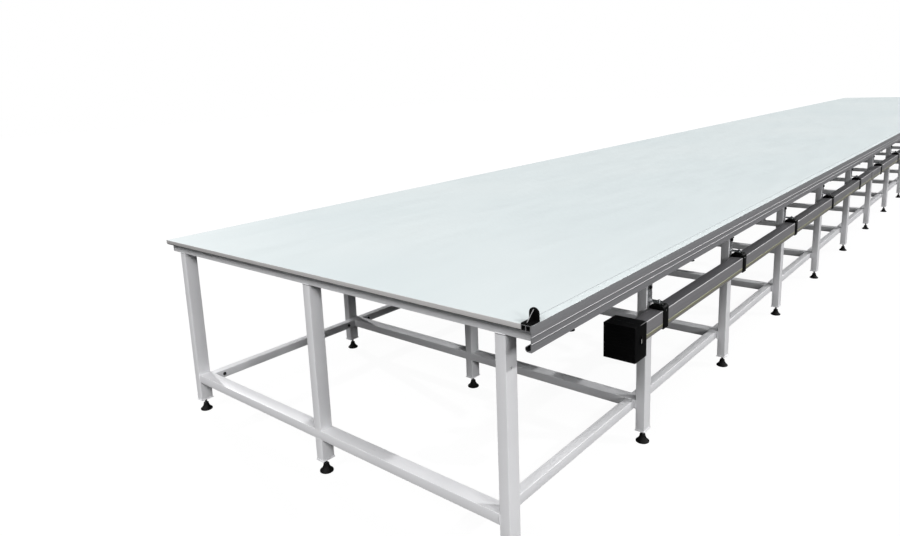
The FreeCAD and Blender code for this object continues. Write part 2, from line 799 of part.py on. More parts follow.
def hanger_crown():
    """The thick top of a hanger, with round shoulders and a blind seat for its stud."""
    low = housing_top + s.hanger_play
    reach = s.hanger_play + s.hanger_thick
    length = s.hanger_length
    block = Part.makeBox(s.housing_width + 2 * reach, length, s.hanger_crown,
                         vector(housing_inner - reach, -length / 2, low))
    shoulders = [edge for edge in block.Edges
                 if all(point.Point.z > low for point in edge.Vertexes)
                 and edge.Vertexes[0].Point.x == edge.Vertexes[1].Point.x]
    block = block.makeFillet(s.hanger_corner, shoulders)
    return drilled(block, s.hanger_stud_radius + s.nut_fit, s.hanger_stud_seat,
                   [vector(housing_middle, 0, hanger_top - s.hanger_stud_seat)])


hangers = []
studs = []
crown = hanger_crown()
stud_low = hanger_top - s.hanger_stud_seat
stud_height = arm_top + s.nut_height + s.hanger_stud_tail - stud_low
for place in hanger_places:
    hangers += saddle_shapes(s.hanger_length, s.hanger_thick, s.hanger_lip, place - s.hanger_length / 2)
    hangers.append(moved(crown, y=place))
    studs.append(Part.makeCylinder(s.hanger_stud_radius, stud_height,
                                   vector(housing_middle, place, stud_low)))
    for nut_low in (arm_top, hanger_top):
        start = vector(housing_middle, place, nut_low)
        nut = hex_prism(s.nut_radius, s.nut_height, start, vector(z=1))
        studs.append(drilled(nut, s.hanger_stud_radius + s.nut_fit, s.nut_height, [start]))
node("hangers", hangers)
node("hanger_studs", studs)

covers = []
for joint in joints[1:-1]:
    covers += saddle_shapes(s.cover_sleeve_length, s.cover_sleeve_thick, 0,
                            joint - s.cover_sleeve_length / 2)
node("joint_covers", covers)
cap_thick = s.end_cap_thick
cap_low = housing_bottom - s.hanger_play
cap_start = housing_end - s.end_cap_lap
cap = Part.makeBox(s.housing_width + 2 * s.hanger_play + 2 * cap_thick, cap_thick,
                   housing_top + s.hanger_play + cap_thick - cap_low,
                   vector(housing_inner - s.hanger_play - cap_thick, housing_end, cap_low))
node("housing_end_cap", [cap] + saddle_shapes(s.end_cap_lap, cap_thick, 0, cap_start))


# Feed box: a body on the housing's end, a hinged cover, a latch, terminals and a cable gland

box_middle_x = (box_inner + box_outer) / 2
inner_width = s.box_width - 2 * s.box_wall
inner_height = s.box_height - 2 * s.box_wall
hinge_x = box_inner - s.hinge_offset
latch_middle = box_top - s.latch_drop
latch_x = box_outer + s.latch_gap + s.latch_barrel_radius
latch_y = box_seam + s.latch_reach / 2
body_depth = s.box_depth - s.cover_depth


def shell(start, depth, open_low):
    """Half of the box: five walls, open toward the seam."""
    outer = Part.makeBox(s.box_width, depth, s.box_height, vector(box_inner, start, box_bottom))
    bore_start = start if open_low else start + s.box_wall
    bore = Part.makeBox(inner_width, depth - s.box_wall, inner_height,
                        vector(box_inner + s.box_wall, bore_start, box_bottom + s.box_wall))
    return outer.cut(bore)


def knuckle(low, high, toward):
    """A hinge knuckle with its web, on one side of the seam."""
    barrel = Part.makeCylinder(s.hinge_radius, high - low, vector(hinge_x, box_seam, low))
    web_start = box_seam + s.knuckle_gap if toward > 0 else box_seam - s.knuckle_gap - s.hinge_radius
    web = Part.makeBox(s.hinge_offset, s.hinge_radius, high - low, vector(hinge_x, web_start, low))
    return barrel.fuse(web)


body_shell = shell(box_seam, body_depth, True)
window_low = housing_bottom + s.window_inset
window = Part.makeBox(s.housing_width - 2 * s.window_inset, s.box_wall,
                      s.housing_height - 2 * s.window_inset,
                      vector(housing_inner + s.window_inset, box_far - s.box_wall, window_low))
strip_slots = [Part.makeBox(s.strip_thick + 2 * s.spigot_fit, s.box_wall, s.strip_height + 2 * s.spigot_fit,
                            vector(x, box_far - s.box_wall, middle - s.strip_height / 2 - s.spigot_fit))
               for x in (inner_face + s.carrier_thick - s.spigot_fit,
                         outer_face - s.carrier_thick - s.strip_thick - s.spigot_fit)
               for middle in strip_middles]
gland_x = box_middle_x
gland_y = box_seam + body_depth / 2
body_shell = body_shell.cut(Part.makeCompound([window] + strip_slots))
body_shell = drilled(body_shell, s.gland_radius + s.gland_fit, s.box_wall,
                     [vector(gland_x, gland_y, box_bottom)])
middle_z = (box_bottom + box_top) / 2
half_knuckle = s.knuckle_length / 2
body_knuckles = [knuckle(middle_z + half_knuckle + s.knuckle_gap,
                         middle_z + half_knuckle + s.knuckle_gap + s.knuckle_length, 1),
                 knuckle(middle_z - half_knuckle - s.knuckle_gap - s.knuckle_length,
                         middle_z - half_knuckle - s.knuckle_gap, 1)]
hinge_low = middle_z - half_knuckle - s.knuckle_gap - s.knuckle_length
hinge_span = 3 * s.knuckle_length + 2 * s.knuckle_gap
half_latch = s.latch_width / 2
ears = []
for low in (latch_middle + half_latch + s.knuckle_gap,
            latch_middle - half_latch - s.knuckle_gap - s.ear_length):
    ear = Part.makeCylinder(s.latch_barrel_radius, s.ear_length, vector(latch_x, latch_y, low))
    foot = Part.makeBox(latch_x - box_outer, 2 * s.latch_barrel_radius, s.ear_length,
                        vector(box_outer, latch_y - s.latch_barrel_radius, low))
    ears.append(ear.fuse(foot))
feed_body = body_shell
for piece in body_knuckles + ears:
    feed_body = feed_body.fuse(piece)
pin_bore = Part.makeCylinder(s.hinge_pin_radius + s.hinge_fit, hinge_span, vector(hinge_x, box_seam, hinge_low))
ear_span = s.latch_width + 2 * s.knuckle_gap + 2 * s.ear_length
ear_low = latch_middle - ear_span / 2
ear_bore = Part.makeCylinder(s.latch_pin_radius + s.hinge_fit, ear_span, vector(latch_x, latch_y, ear_low))
feed_body = feed_body.cut(pin_bore).cut(ear_bore)
node("feed_box_body", [feed_body])

cover_shell = shell(box_near, s.cover_depth - s.knuckle_gap, False)
rib_pitch = inner_height / (s.cover_rib_count + 1)
rib_grooves = [Part.makeBox(inner_width, s.cover_rib_depth, s.cover_rib_height,
                            vector(box_inner + s.box_wall, box_near,
                                   box_bottom + s.box_wall + rib_pitch * index))
               for index in range(1, int(s.cover_rib_count) + 1)]
cover_shell = cover_shell.cut(Part.makeCompound(rib_grooves))
cover_shell = cover_shell.fuse(knuckle(middle_z - half_knuckle, middle_z + half_knuckle, -1))
pin_hole = Part.makeCylinder(s.hinge_pin_radius, s.knuckle_length, vector(hinge_x, box_seam,
                                                                           middle_z - half_knuckle))
cover_shell = cover_shell.cut(pin_hole)
hinge_pin = Part.makeCylinder(s.hinge_pin_radius, hinge_span, vector(hinge_x, box_seam, hinge_low))
captive_screw = Part.makeCylinder(s.captive_screw_radius, s.captive_screw_height,
                                  vector(box_middle_x, box_near, middle_z), vector(y=-1))
node("feed_box_cover", [cover_shell, hinge_pin, captive_screw])

barrel = Part.makeCylinder(s.latch_barrel_radius, s.latch_width,
                           vector(latch_x, latch_y, latch_middle - half_latch))
flap = Part.makeBox(s.latch_thick, s.latch_reach, s.latch_width,
                    vector(latch_x - s.latch_barrel_radius, latch_y - s.latch_reach,
                           latch_middle - half_latch))
latch = barrel.fuse(flap)
latch_pin = Part.makeCylinder(s.latch_pin_radius, ear_span, vector(latch_x, latch_y, ear_low))
latch = latch.cut(latch_pin)
node("feed_box_latch", [latch, latch_pin])

terminal_x = box_inner + s.box_wall + s.terminal_margin
terminal = Part.makeBox(s.terminal_width, s.terminal_depth, s.terminal_height,
                        vector(terminal_x, box_far - s.box_wall - s.terminal_depth,
                               box_bottom + s.box_wall + s.terminal_margin))
way_pitch = s.terminal_width / TERMINAL_WAYS
ways = [vector(terminal_x + way_pitch * index + way_pitch / 2, box_far - s.box_wall - s.terminal_depth,
               box_bottom + s.box_wall + s.terminal_margin + s.terminal_height / 2)
        for index in range(TERMINAL_WAYS)]
terminal = drilled(terminal, s.terminal_hole_radius, s.terminal_depth / 2, ways, vector(y=1))
node("terminal_block", [terminal])

gland_span = s.gland_nut_height + s.box_wall
gland = Part.makeCylinder(s.gland_radius, gland_span, vector(gland_x, gland_y, box_bottom))
gland = gland.fuse(hex_prism(s.gland_hex_radius, s.gland_hex_height,
                             vector(gland_x, gland_y, box_bottom - s.gland_hex_height), vector(z=1)))
gland = gland.fuse(hex_prism(s.gland_hex_radius, s.gland_nut_height,
                             vector(gland_x, gland_y, box_bottom + s.box_wall), vector(z=1)))
cap_bottom = box_bottom - s.gland_hex_height - s.gland_cap_height
gland_cap = Part.makeCone(s.gland_bore_radius + s.box_wall, s.gland_cap_radius, s.gland_cap_height,
                          vector(gland_x, gland_y, cap_bottom))
gland = gland.fuse(gland_cap)
gland = drilled(gland, s.gland_bore_radius, box_bottom + gland_span - cap_bottom + OVERRUN,
                [vector(gland_x, gland_y, cap_bottom)])
node("cable_gland", [gland])


# Check every object, then write each sub-part

doc.recompute()
for item in doc.Objects:
    if "Invalid" in item.State or "Error" in item.State:
        raise RuntimeError(f"{item.Name} did not build: {item.State}")
for item in nodes:
    if item.Shape.isNull() or not item.Shape.isValid() or not item.Shape.Solids:
        raise RuntimeError(f"{item.Label} has no valid solid")
    for solid in item.Shape.Solids:
        if not solid.isValid() or solid.Volume <= 0:
            raise RuntimeError(f"{item.Label} holds a bad solid")

os.makedirs("parts", exist_ok=True)
for item in nodes:
    item.Shape.exportStep(os.path.join("parts", item.Label + ".step"))
solid_count = sum(len(item.Shape.Solids) for item in nodes)
print(f"{len(nodes)} sub-parts with {solid_count} solids")
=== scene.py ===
"""Fabric cutting table: its looks, its light and its camera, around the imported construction.

Lengths are metres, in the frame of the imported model: +Y runs along the table from the near end
with the feed box to the far end, +X points to the side with the rails, and the floor is z = 0.
"""

import logging
import math
from collections.abc import Iterable, Sequence
from dataclasses import dataclass, field, replace
from enum import Enum

import bmesh
import bpy
from mathutils import Matrix, Vector


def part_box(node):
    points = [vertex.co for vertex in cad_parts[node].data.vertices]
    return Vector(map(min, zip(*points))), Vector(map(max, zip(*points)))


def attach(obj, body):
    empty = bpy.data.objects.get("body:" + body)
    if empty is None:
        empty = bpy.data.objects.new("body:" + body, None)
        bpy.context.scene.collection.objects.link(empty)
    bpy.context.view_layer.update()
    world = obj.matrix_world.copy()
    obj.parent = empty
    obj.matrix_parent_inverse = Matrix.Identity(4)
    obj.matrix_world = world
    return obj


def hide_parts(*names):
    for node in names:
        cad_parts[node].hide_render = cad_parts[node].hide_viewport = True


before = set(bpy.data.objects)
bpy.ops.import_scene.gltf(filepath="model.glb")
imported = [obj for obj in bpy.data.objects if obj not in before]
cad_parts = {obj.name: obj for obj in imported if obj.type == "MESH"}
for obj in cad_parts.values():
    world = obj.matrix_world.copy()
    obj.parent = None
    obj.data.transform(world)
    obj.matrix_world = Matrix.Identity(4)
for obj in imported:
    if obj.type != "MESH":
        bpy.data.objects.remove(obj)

MM = 0.001
RAIL_COUNT = 3
SMOOTH_ANGLE = math.radians(32)
CORNER_STEPS = 3
# A hexagon head's chamfer: where it starts, as a share of the flats' distance from the axis, and
# its rise, as a share of what it takes off the corners.
HEXAGON = 6
CHAMFER_SHARE = 0.97
CHAMFER_RISE_SHARE = 0.6
# A thread's half height, and how far its shaft lies inside the crests, as shares of its pitch.
THREAD_SHARE = 0.5
CORE_SHARE = 0.55
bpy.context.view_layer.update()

logging.basicConfig(level=logging.INFO, format="%(levelname)s %(name)s: %(message)s")
log = logging.getLogger("cutting_table")


# Node trees

def add(tree: bpy.types.NodeTree, kind: str, inputs: dict | None = None, **settings) -> bpy.types.Node:
    """Adds a node with its settings, its values and its links.

    Args:
        tree: The tree that gets the node.
        kind: The node's type.
        inputs: Input socket, by name or index, to the value or the output socket that feeds it.
        **settings: The node's own properties.

    Returns:
        The new node.
    """
    node = tree.nodes.new(kind)
    for name, value in settings.items():
        setattr(node, name, value)
    for name, value in (inputs or {}).items():
        if isinstance(value, bpy.types.NodeSocket):
            tree.links.new(value, node.inputs[name])
        else:
            node.inputs[name].default_value = value
    return node


# Finishes

def linear(colour: str) -> tuple[float, float, float, float]:
    """Turns an sRGB hex colour into linear values.

    Args:
        colour: Six hex digits after a number sign.

    Returns:
        Linear red, green, blue and an alpha of 1.
    """
    parts = (int(colour[i : i + 2], 16) / 255 for i in (1, 3, 5))
    red, green, blue = (c / 12.92 if c <= 0.04045 else ((c + 0.055) / 1.055) ** 2.4 for c in parts)
    return red, green, blue, 1.0


class Grain(Enum):
    """How a pattern's texture is made."""

    NOISE = "ShaderNodeTexNoise"
    CELLS = "ShaderNodeTexVoronoi"


@dataclass(frozen=True)
class Pattern:
    """One layer of a finish, at its real size.

    Attributes:
        size: Length of one feature along X, Y and Z, in metres.
        grain: The texture that makes it.
        tint: Colour that the pattern mixes in, or nothing.
        amount: How far the tint goes, from 0 to 1.
        gloss: How far roughness swings either way.
        relief: Height of the bumps, in metres.
        window: The part of the texture's range that shows, from low to high.
    """

    size: tuple[float, float, float]
    grain: Grain = Grain.NOISE
    tint: str | None = None
    amount: float = 0.0
    gloss: float = 0.0
    relief: float = 0.0
    window: tuple[float, float] = (0.35, 0.65)


@dataclass(frozen=True)
class Zone:
    """A stretch of height that has a colour of its own, such as a stripe along a rail.

    Attributes:
        low: Lowest height of the zone, in metres.
        high: Highest height of the zone.
        tint: The zone's colour.
        amount: How far it covers the base colour.
    """

    low: float
    high: float
    tint: str
    amount: float


@dataclass(frozen=True)
class Finish:
    """A real finish: what it is, its colour, its gloss and what lies on it.

    Attributes:
        name: What it is, which names the material.
        colour: Its base colour, as sRGB hex.
        roughness: Its middle roughness.
        metallic: How far it is bare metal.
        ior: Its index of refraction.
        patterns: The layers of texture on it.
        zones: The stretches of height with a colour of their own.
    """

    name: str
    colour: str
    roughness: float
    metallic: float = 0.0
    ior: float = 1.5
    patterns: tuple[Pattern, ...] = ()
    zones: tuple[Zone, ...] = ()

    def material(self) -> bpy.types.Material:
        """Builds the material once.

        Returns:
            The material, which is the same one each time.
        """
        known = bpy.data.materials.get(self.name)
        if known is not None:
            return known
        material = bpy.data.materials.new(self.name)
        material.use_nodes = True
        tree = material.node_tree
        tree.nodes.clear()
        shader = add(tree, "ShaderNodeBsdfPrincipled", {
            "Base Color": linear(self.colour), "Roughness": self.roughness,
            "Metallic": self.metallic, "IOR": self.ior})
        add(tree, "ShaderNodeOutputMaterial", {"Surface": shader.outputs["BSDF"]})
        place = add(tree, "ShaderNodeTexCoord").outputs["Object"]
        colour = self._tinted(tree, place)
        if colour is not None:
            tree.links.new(colour, shader.inputs["Base Color"])
        self._relief(tree, place, shader)
        material.diffuse_color = linear(self.colour)
        return material

    def _texture(self, tree: bpy.types.NodeTree, place: bpy.types.NodeSocket,
                 pattern: Pattern) -> bpy.types.NodeSocket:
        """Adds a pattern's texture, stretched to its real size.

        Args:
            tree: The material's tree.
            place: The object coordinates.
            pattern: The pattern.

        Returns:
            The texture's value.
        """
        scaled = add(tree, "ShaderNodeMapping", {
            "Vector": place, "Scale": tuple(1 / length for length in pattern.size)})
        texture = add(tree, pattern.grain.value, {"Vector": scaled.outputs["Vector"], "Scale": 1.0})
        return texture.outputs[0]

    def _tinted(self, tree: bpy.types.NodeTree,
                place: bpy.types.NodeSocket) -> bpy.types.NodeSocket | None:
        """Mixes the tints of the patterns and the zones over the base colour.

        Args:
            tree: The material's tree.
            place: The object coordinates.

        Returns:
            The mixed colour, or nothing where the finish has only its base colour.
        """
        colour = None
        for pattern in self.patterns:
            if pattern.tint is None:
                continue
            value = self._texture(tree, place, pattern)
            share = add(tree, "ShaderNodeMapRange", {
                "Value": value, "From Min": pattern.window[0], "From Max": pattern.window[1],
                "To Min": 0.0, "To Max": pattern.amount})
            colour = self._mix(tree, colour, pattern.tint, share.outputs["Result"])
        for zone in self.zones:
            height = add(tree, "ShaderNodeSeparateXYZ", {"Vector": place}).outputs["Z"]
            middle, half = (zone.low + zone.high) / 2, (zone.high - zone.low) / 2
            inside = add(tree, "ShaderNodeMath", {0: height, 1: middle, 2: half}, operation="COMPARE")
            share = add(tree, "ShaderNodeMath", {0: inside.outputs[0], 1: zone.amount},
                        operation="MULTIPLY")
            colour = self._mix(tree, colour, zone.tint, share.outputs[0])
        return colour

    def _mix(self, tree: bpy.types.NodeTree, colour: bpy.types.NodeSocket | None, tint: str,
             share: bpy.types.NodeSocket) -> bpy.types.NodeSocket:
        """Lays a tint over the colour so far.

        Args:
            tree: The material's tree.
            colour: The colour so far, or nothing for the base colour.
            tint: The tint, as sRGB hex.
            share: How far the tint covers the colour.

        Returns:
            The mixed colour.
        """
        mix = add(tree, "ShaderNodeMix", data_type="RGBA")
        factor, under, over = mix.inputs[0], mix.inputs[6], mix.inputs[7]
        if colour is None:
            under.default_value = linear(self.colour)
        else:
            tree.links.new(colour, under)
        over.default_value = linear(tint)
        tree.links.new(share, factor)
        return mix.outputs[2]

    def _relief(self, tree: bpy.types.NodeTree, place: bpy.types.NodeSocket,
                shader: bpy.types.Node) -> None:
        """Adds the bumps and the swings of gloss that the patterns have.

        Args:
            tree: The material's tree.
            place: The object coordinates.
            shader: The surface's shader.
        """
        normal = None
        for pattern in self.patterns:
            if not (pattern.relief or pattern.gloss):
                continue
            value = self._texture(tree, place, pattern)
            if pattern.gloss:
                swing = add(tree, "ShaderNodeMapRange", {
                    "Value": value, "From Min": pattern.window[0], "From Max": pattern.window[1],
                    "To Min": self.roughness - pattern.gloss, "To Max": self.roughness + pattern.gloss})
                tree.links.new(swing.outputs["Result"], shader.inputs["Roughness"])
            if pattern.relief:
                bump = add(tree, "ShaderNodeBump", {
                    "Height": value, "Distance": pattern.relief, "Strength": 1.0})
                if normal is not None:
                    tree.links.new(normal, bump.inputs["Normal"])
                normal = bump.outputs["Normal"]
        if normal is not None:
            tree.links.new(normal, shader.inputs["Normal"])


def even(length: float) -> tuple[float, float, float]:
    """Three equal values, such as a pattern's size that is the same in all directions."""
    return (length, length, length)


# Polyester powder coat, sprayed and baked: orange peel a few millimetres wide, drawn at 6 mm
# so that it shows, and a slight cloudiness over hand-wide patches.
POWDER_COAT = Finish("powder_coated_steel", "#EAEAEC", 0.42, patterns=(
    Pattern(even(260 * MM), tint="#D9D9DC", amount=0.35),
    Pattern(even(6 * MM), gloss=0.05, relief=0.12 * MM)))
# High-pressure laminate: a smooth pressed face with a fine satin grain and faint wipe marks.
LAMINATE = Finish("white_laminate", "#CFD6D7", 0.52, ior=1.3, patterns=(
    Pattern((900 * MM, 1600 * MM, 1.0), tint="#C7D0D2", amount=0.5),
    Pattern((70 * MM, 420 * MM, 1.0), gloss=0.05, window=(0.3, 0.7)),
    Pattern(even(3 * MM), relief=0.02 * MM)))
# Extruded plastic edging, ironed on and scraped: satin, with faint streaks along it.
EDGING = Finish("satin_edge_banding", "#C6C4C3", 0.45, patterns=(
    Pattern((400 * MM, 400 * MM, 2 * MM), tint="#B5B3B3", amount=0.4),
    Pattern(even(4 * MM), gloss=0.06)))
# Zinc-plated steel: bright with small crystalline patches that differ in gloss.
ZINC = Finish("zinc_plated_steel", "#C4C6C8", 0.30, metallic=1.0, patterns=(
    Pattern(even(5 * MM), grain=Grain.CELLS, tint="#A7AAAD", amount=0.5, window=(0.2, 0.9)),
    Pattern(even(3 * MM), gloss=0.08)))
# The same plating on the foot studs, drawn much darker than the brackets' zinc.
DULL_ZINC = Finish("greased_zinc_plated_steel", "#4A4A4C", 0.5, metallic=0.7, patterns=(
    Pattern(even(8 * MM), tint="#2E2E2F", amount=0.6, gloss=0.06),))
# Painted shade in the rail's cells and hook: a near-black film on their walls, where little light gets in.
RAIL_INSIDE_SHADE = Finish("grimy_mill_aluminium", "#161618", 0.8, ior=1.3, patterns=(
    Pattern(even(20 * MM), tint="#242426", amount=0.5),))
# The anodising of the rail's top face, rubbed matt by cloth: as pale as the boards beside it.
RAIL_TOP = Finish("rubbed_matt_anodising", "#D2D9DA", 0.55, ior=1.3, patterns=(
    Pattern((2 * MM, 900 * MM, 2 * MM), tint="#C4CCCD", amount=0.4, gloss=0.05),))
# Blackened steel of the small frame bolts.
BLACK_OXIDE = Finish("blackened_steel", "#2A2A2B", 0.42, metallic=0.6, patterns=(
    Pattern(even(3 * MM), gloss=0.08),))
# Glass-filled nylon, moulded with an eroded grain about a millimetre across.
MOULDED_BLACK = Finish("moulded_black_nylon", "#050506", 0.5, ior=1.22, patterns=(
    Pattern(even(60 * MM), tint="#0E0E0F", amount=0.5),
    Pattern(even(1.2 * MM), gloss=0.06, relief=0.05 * MM)))
# The same nylon with a painted highlight: a pale colour for an edge that catches the light.
PAINTED_HIGHLIGHT_NYLON = Finish("rubbed_pale_nylon", "#9A9A9C", 0.4, patterns=(
    Pattern(even(9 * MM), tint="#6E6E70", amount=0.6),))
# Rubbery black polypropylene of the foot pads, dusty near the floor.
PAD_BLACK = Finish("black_pad_polypropylene", "#080808", 0.6, ior=1.25, patterns=(
    Pattern(even(30 * MM), tint="#151413", amount=0.5),
    Pattern(even(1.5 * MM), relief=0.05 * MM)))
# Pale insert of the latch, a little yellowed and scuffed: its pale colour is a painted highlight that
# stands in for a glint on the dark latch.
LATCH_HIGHLIGHT = Finish("moulded_white_acetal", "#B9B9B5", 0.38, patterns=(
    Pattern(even(25 * MM), tint="#A3A39E", amount=0.4),
    Pattern(even(2 * MM), gloss=0.06)))
# Filled nylon of the terminals, moulded with a faint cloudiness.
TERMINAL_BEIGE = Finish("moulded_beige_nylon", "#B8B4A6", 0.5, patterns=(
    Pattern(even(12 * MM), tint="#A5A193", amount=0.4),))
# Drawn copper, gone slightly brown in air.
COPPER = Finish("drawn_copper", "#B87350", 0.34, metallic=1.0, patterns=(
    Pattern((3 * MM, 300 * MM, 3 * MM), tint="#8E5339", amount=0.5, gloss=0.08),))
# Rigid grey vinyl of the strips' carrier, with the die's lines along it.
CARRIER = Finish("extruded_grey_carrier", "#55565A", 0.5, patterns=(
    Pattern((3 * MM, 400 * MM, 3 * MM), tint="#48494D", amount=0.5),))


def rail_finish(top: float, beads: Sequence[float], bead: float, groove: float) -> Finish:
    """Clear anodised aluminium of the edge rail.

    It is a metal with fine die lines along the extrusion, 0.5 mm apart in the real one and drawn
    at 2 mm. Its top corner and the crests of its beads carry a painted highlight, and the grooves
    below them and the seam beside the boards are painted dark as shade.

    Args:
        top: Height of the rail's top face.
        beads: Height of each bead's middle.
        bead: Radius of a bead.
        groove: Radius of the groove under it.

    Returns:
        The finish.
    """
    foot, crest = bead * 0.9, bead * 0.8
    painted_highlight, seam_shade_low, seam_shade_high = 0.2 * MM, 1.6 * MM, 1 * MM
    # Painted highlights on the bead crests and the top corner, painted shade in the grooves and the seam.
    painted_highlights = tuple(Zone(z - crest, z + foot, "#DADADB", 0.85) for z in beads)
    painted_shades = tuple(Zone(z - bead - 2 * groove, z - foot, "#505053", 0.8) for z in beads)
    corner = Zone(top - painted_highlight, top + painted_highlight, "#EDF3F3", 0.97)
    seam = Zone(top - seam_shade_low, top - seam_shade_high, "#5E6363", 0.9)
    return Finish("anodised_aluminium", "#A2A2A5", 0.42, metallic=0.45, patterns=(
        Pattern((2 * MM, 900 * MM, 2 * MM), tint="#929295", amount=0.6, gloss=0.07),
        Pattern((2.5 * MM, 700 * MM, 2.5 * MM), relief=0.03 * MM)),
        zones=(*painted_highlights, *painted_shades, corner, seam))


def housing_finish(low: float, high: float, ridge: float) -> Finish:
    """Extruded grey plastic of the power rail.

    It has a painted highlight along its top corner, a top face painted darker as shade, and a thin
    pale yellow mark along its side with a fainter olive one below.

    Args:
        low: Height of the housing's underside.
        high: Height of its top face.
        ridge: Height of the mark's middle.

    Returns:
        The finish.
    """
    olive_low, olive_gap, mark_half = 8 * MM, 1 * MM, 0.8 * MM
    edge_highlight_low, edge_highlight_high = 2.6 * MM, 0.5 * MM
    top_shade_low, top_shade_high = 0.3 * MM, 1 * MM
    return Finish("extruded_grey_housing", "#828183", 0.45, patterns=(
        Pattern((2 * MM, 800 * MM, 2 * MM), tint="#757477", amount=0.6, gloss=0.06),), zones=(
        Zone(low + olive_low, ridge - olive_gap, "#8A8868", 0.6),
        Zone(ridge - mark_half, ridge + mark_half, "#D6D8A4", 0.9),
        # Painted highlight along the top corner, and painted shade over the top face.
        Zone(high - edge_highlight_low, high - edge_highlight_high, "#E2E2E3", 0.9),
        Zone(high - top_shade_low, high + top_shade_high, "#5C5B5E", 0.9)))


# Shapes

class Facing(Enum):
    """Which way a flat outline is extruded, as the world axes of its own x, y and z."""

    ALONG_X = ((0, 1, 0), (0, 0, 1), (1, 0, 0))
    ALONG_Y = ((1, 0, 0), (0, 0, 1), (0, 1, 0))
    ALONG_Z = ((1, 0, 0), (0, 1, 0), (0, 0, 1))

    def matrix(self) -> Matrix:
        """The turn from the outline's own axes to the table's."""
        return Matrix(self.value).transposed().to_4x4()


def rounded(corners: Iterable[tuple[float, float, float]], steps: int = 4) -> list[Vector]:
    """Makes a closed outline with rounded corners.

    Args:
        corners: Each corner's x, y and radius, in order round the outline.
        steps: Straight pieces in each arc.

    Returns:
        The outline's points.
    """
    corners = list(corners)
    points: list[Vector] = []
    for index, (x, y, radius) in enumerate(corners):
        here = Vector((x, y))
        if radius <= 0:
            points.append(here)
            continue
        before = (Vector(corners[index - 1][:2]) - here).normalized()
        after = (Vector(corners[(index + 1) % len(corners)][:2]) - here).normalized()
        half = before.angle(after) / 2
        centre = here + (before + after).normalized() * (radius / math.sin(half))
        start = here + before * (radius / math.tan(half)) - centre
        end = here + after * (radius / math.tan(half)) - centre
        sweep = math.atan2(start.x * end.y - start.y * end.x, start.dot(end))
        points += [centre + Matrix.Rotation(sweep * k / steps, 2) @ start for k in range(steps + 1)]
    return points


def rectangle(low: tuple[float, float], high: tuple[float, float], radius: float) -> list[Vector]:
    """A rectangle with rounded corners, from its lowest to its highest corner."""
    (x0, y0), (x1, y1) = low, high
    return rounded([(x0, y0, radius), (x1, y0, radius), (x1, y1, radius), (x0, y1, radius)])


def circle(x: float, y: float, radius: float, count: int = 16) -> list[Vector]:
    """A round outline."""
    turns = (math.tau * k / count for k in range(count))
    return [Vector((x + radius * math.cos(t), y + radius * math.sin(t))) for t in turns]


def arc(x: float, y: float, radius: float, first: float, last: float, steps: int = 8) -> list[Vector]:
    """Points on an arc between two angles in degrees, from +x toward +y."""
    turns = (math.radians(first + (last - first) * k / steps) for k in range(steps + 1))
    return [Vector((x + radius * math.cos(t), y + radius * math.sin(t))) for t in turns]


def cleaned(mesh: bpy.types.Mesh, merge: float = 0.001 * MM) -> bpy.types.Mesh:
    """Merges a mesh's doubles and turns its faces outwards.

    Args:
        mesh: The mesh, which is changed.
        merge: How near to each other doubles lie.

    Returns:
        The same mesh.
    """
    shape = bmesh.new()
    shape.from_mesh(mesh)
    bmesh.ops.remove_doubles(shape, verts=shape.verts, dist=merge)
    bmesh.ops.recalc_face_normals(shape, faces=shape.faces)
    shape.to_mesh(mesh)
    shape.free()
    return mesh


def plate(loops: Sequence[Sequence[Vector]], low: float, high: float, facing: Facing,
          edge: float = 0.0) -> bpy.types.Mesh:
    """Extrudes an outline with its holes into a solid, with its edges eased.

    Args:
        loops: The outline, then each hole.
        low: Where the solid starts along its axis.
        high: Where it ends.
        facing: The axis it is extruded along.
        edge: Radius of the eased edges, or 0 for sharp ones.

    Returns:
        The solid's mesh.
    """
    data = bpy.data.curves.new("outline", "CURVE")
    data.dimensions, data.fill_mode = "2D", "BOTH"
    data.extrude = (high - low) / 2 - edge
    data.bevel_depth, data.offset, data.bevel_resolution = edge, -edge, 1
    for loop in loops:
        spline = data.splines.new("POLY")
        spline.points.add(len(loop) - 1)
        for point, place in zip(spline.points, loop):
            point.co = (place.x, place.y, 0.0, 1.0)
        spline.use_cyclic_u = True
    mesh = plain_mesh(bpy.data.objects.new("outline", data))
    bpy.data.curves.remove(data)
    mesh.transform(Matrix.Translation((0, 0, (low + high) / 2)))
    mesh.transform(facing.matrix())
    return cleaned(mesh)


def plain_mesh(source: bpy.types.Object) -> bpy.types.Mesh:
    """Turns an object with its modifiers into a plain mesh, and removes the object.

    Args:
        source: The object, which isn't in the scene yet.

    Returns:
        The plain mesh.
    """
    bpy.context.scene.collection.objects.link(source)
    graph = bpy.context.evaluated_depsgraph_get()
    mesh = bpy.data.meshes.new_from_object(source.evaluated_get(graph), depsgraph=graph)
    bpy.data.objects.remove(source)
    return mesh


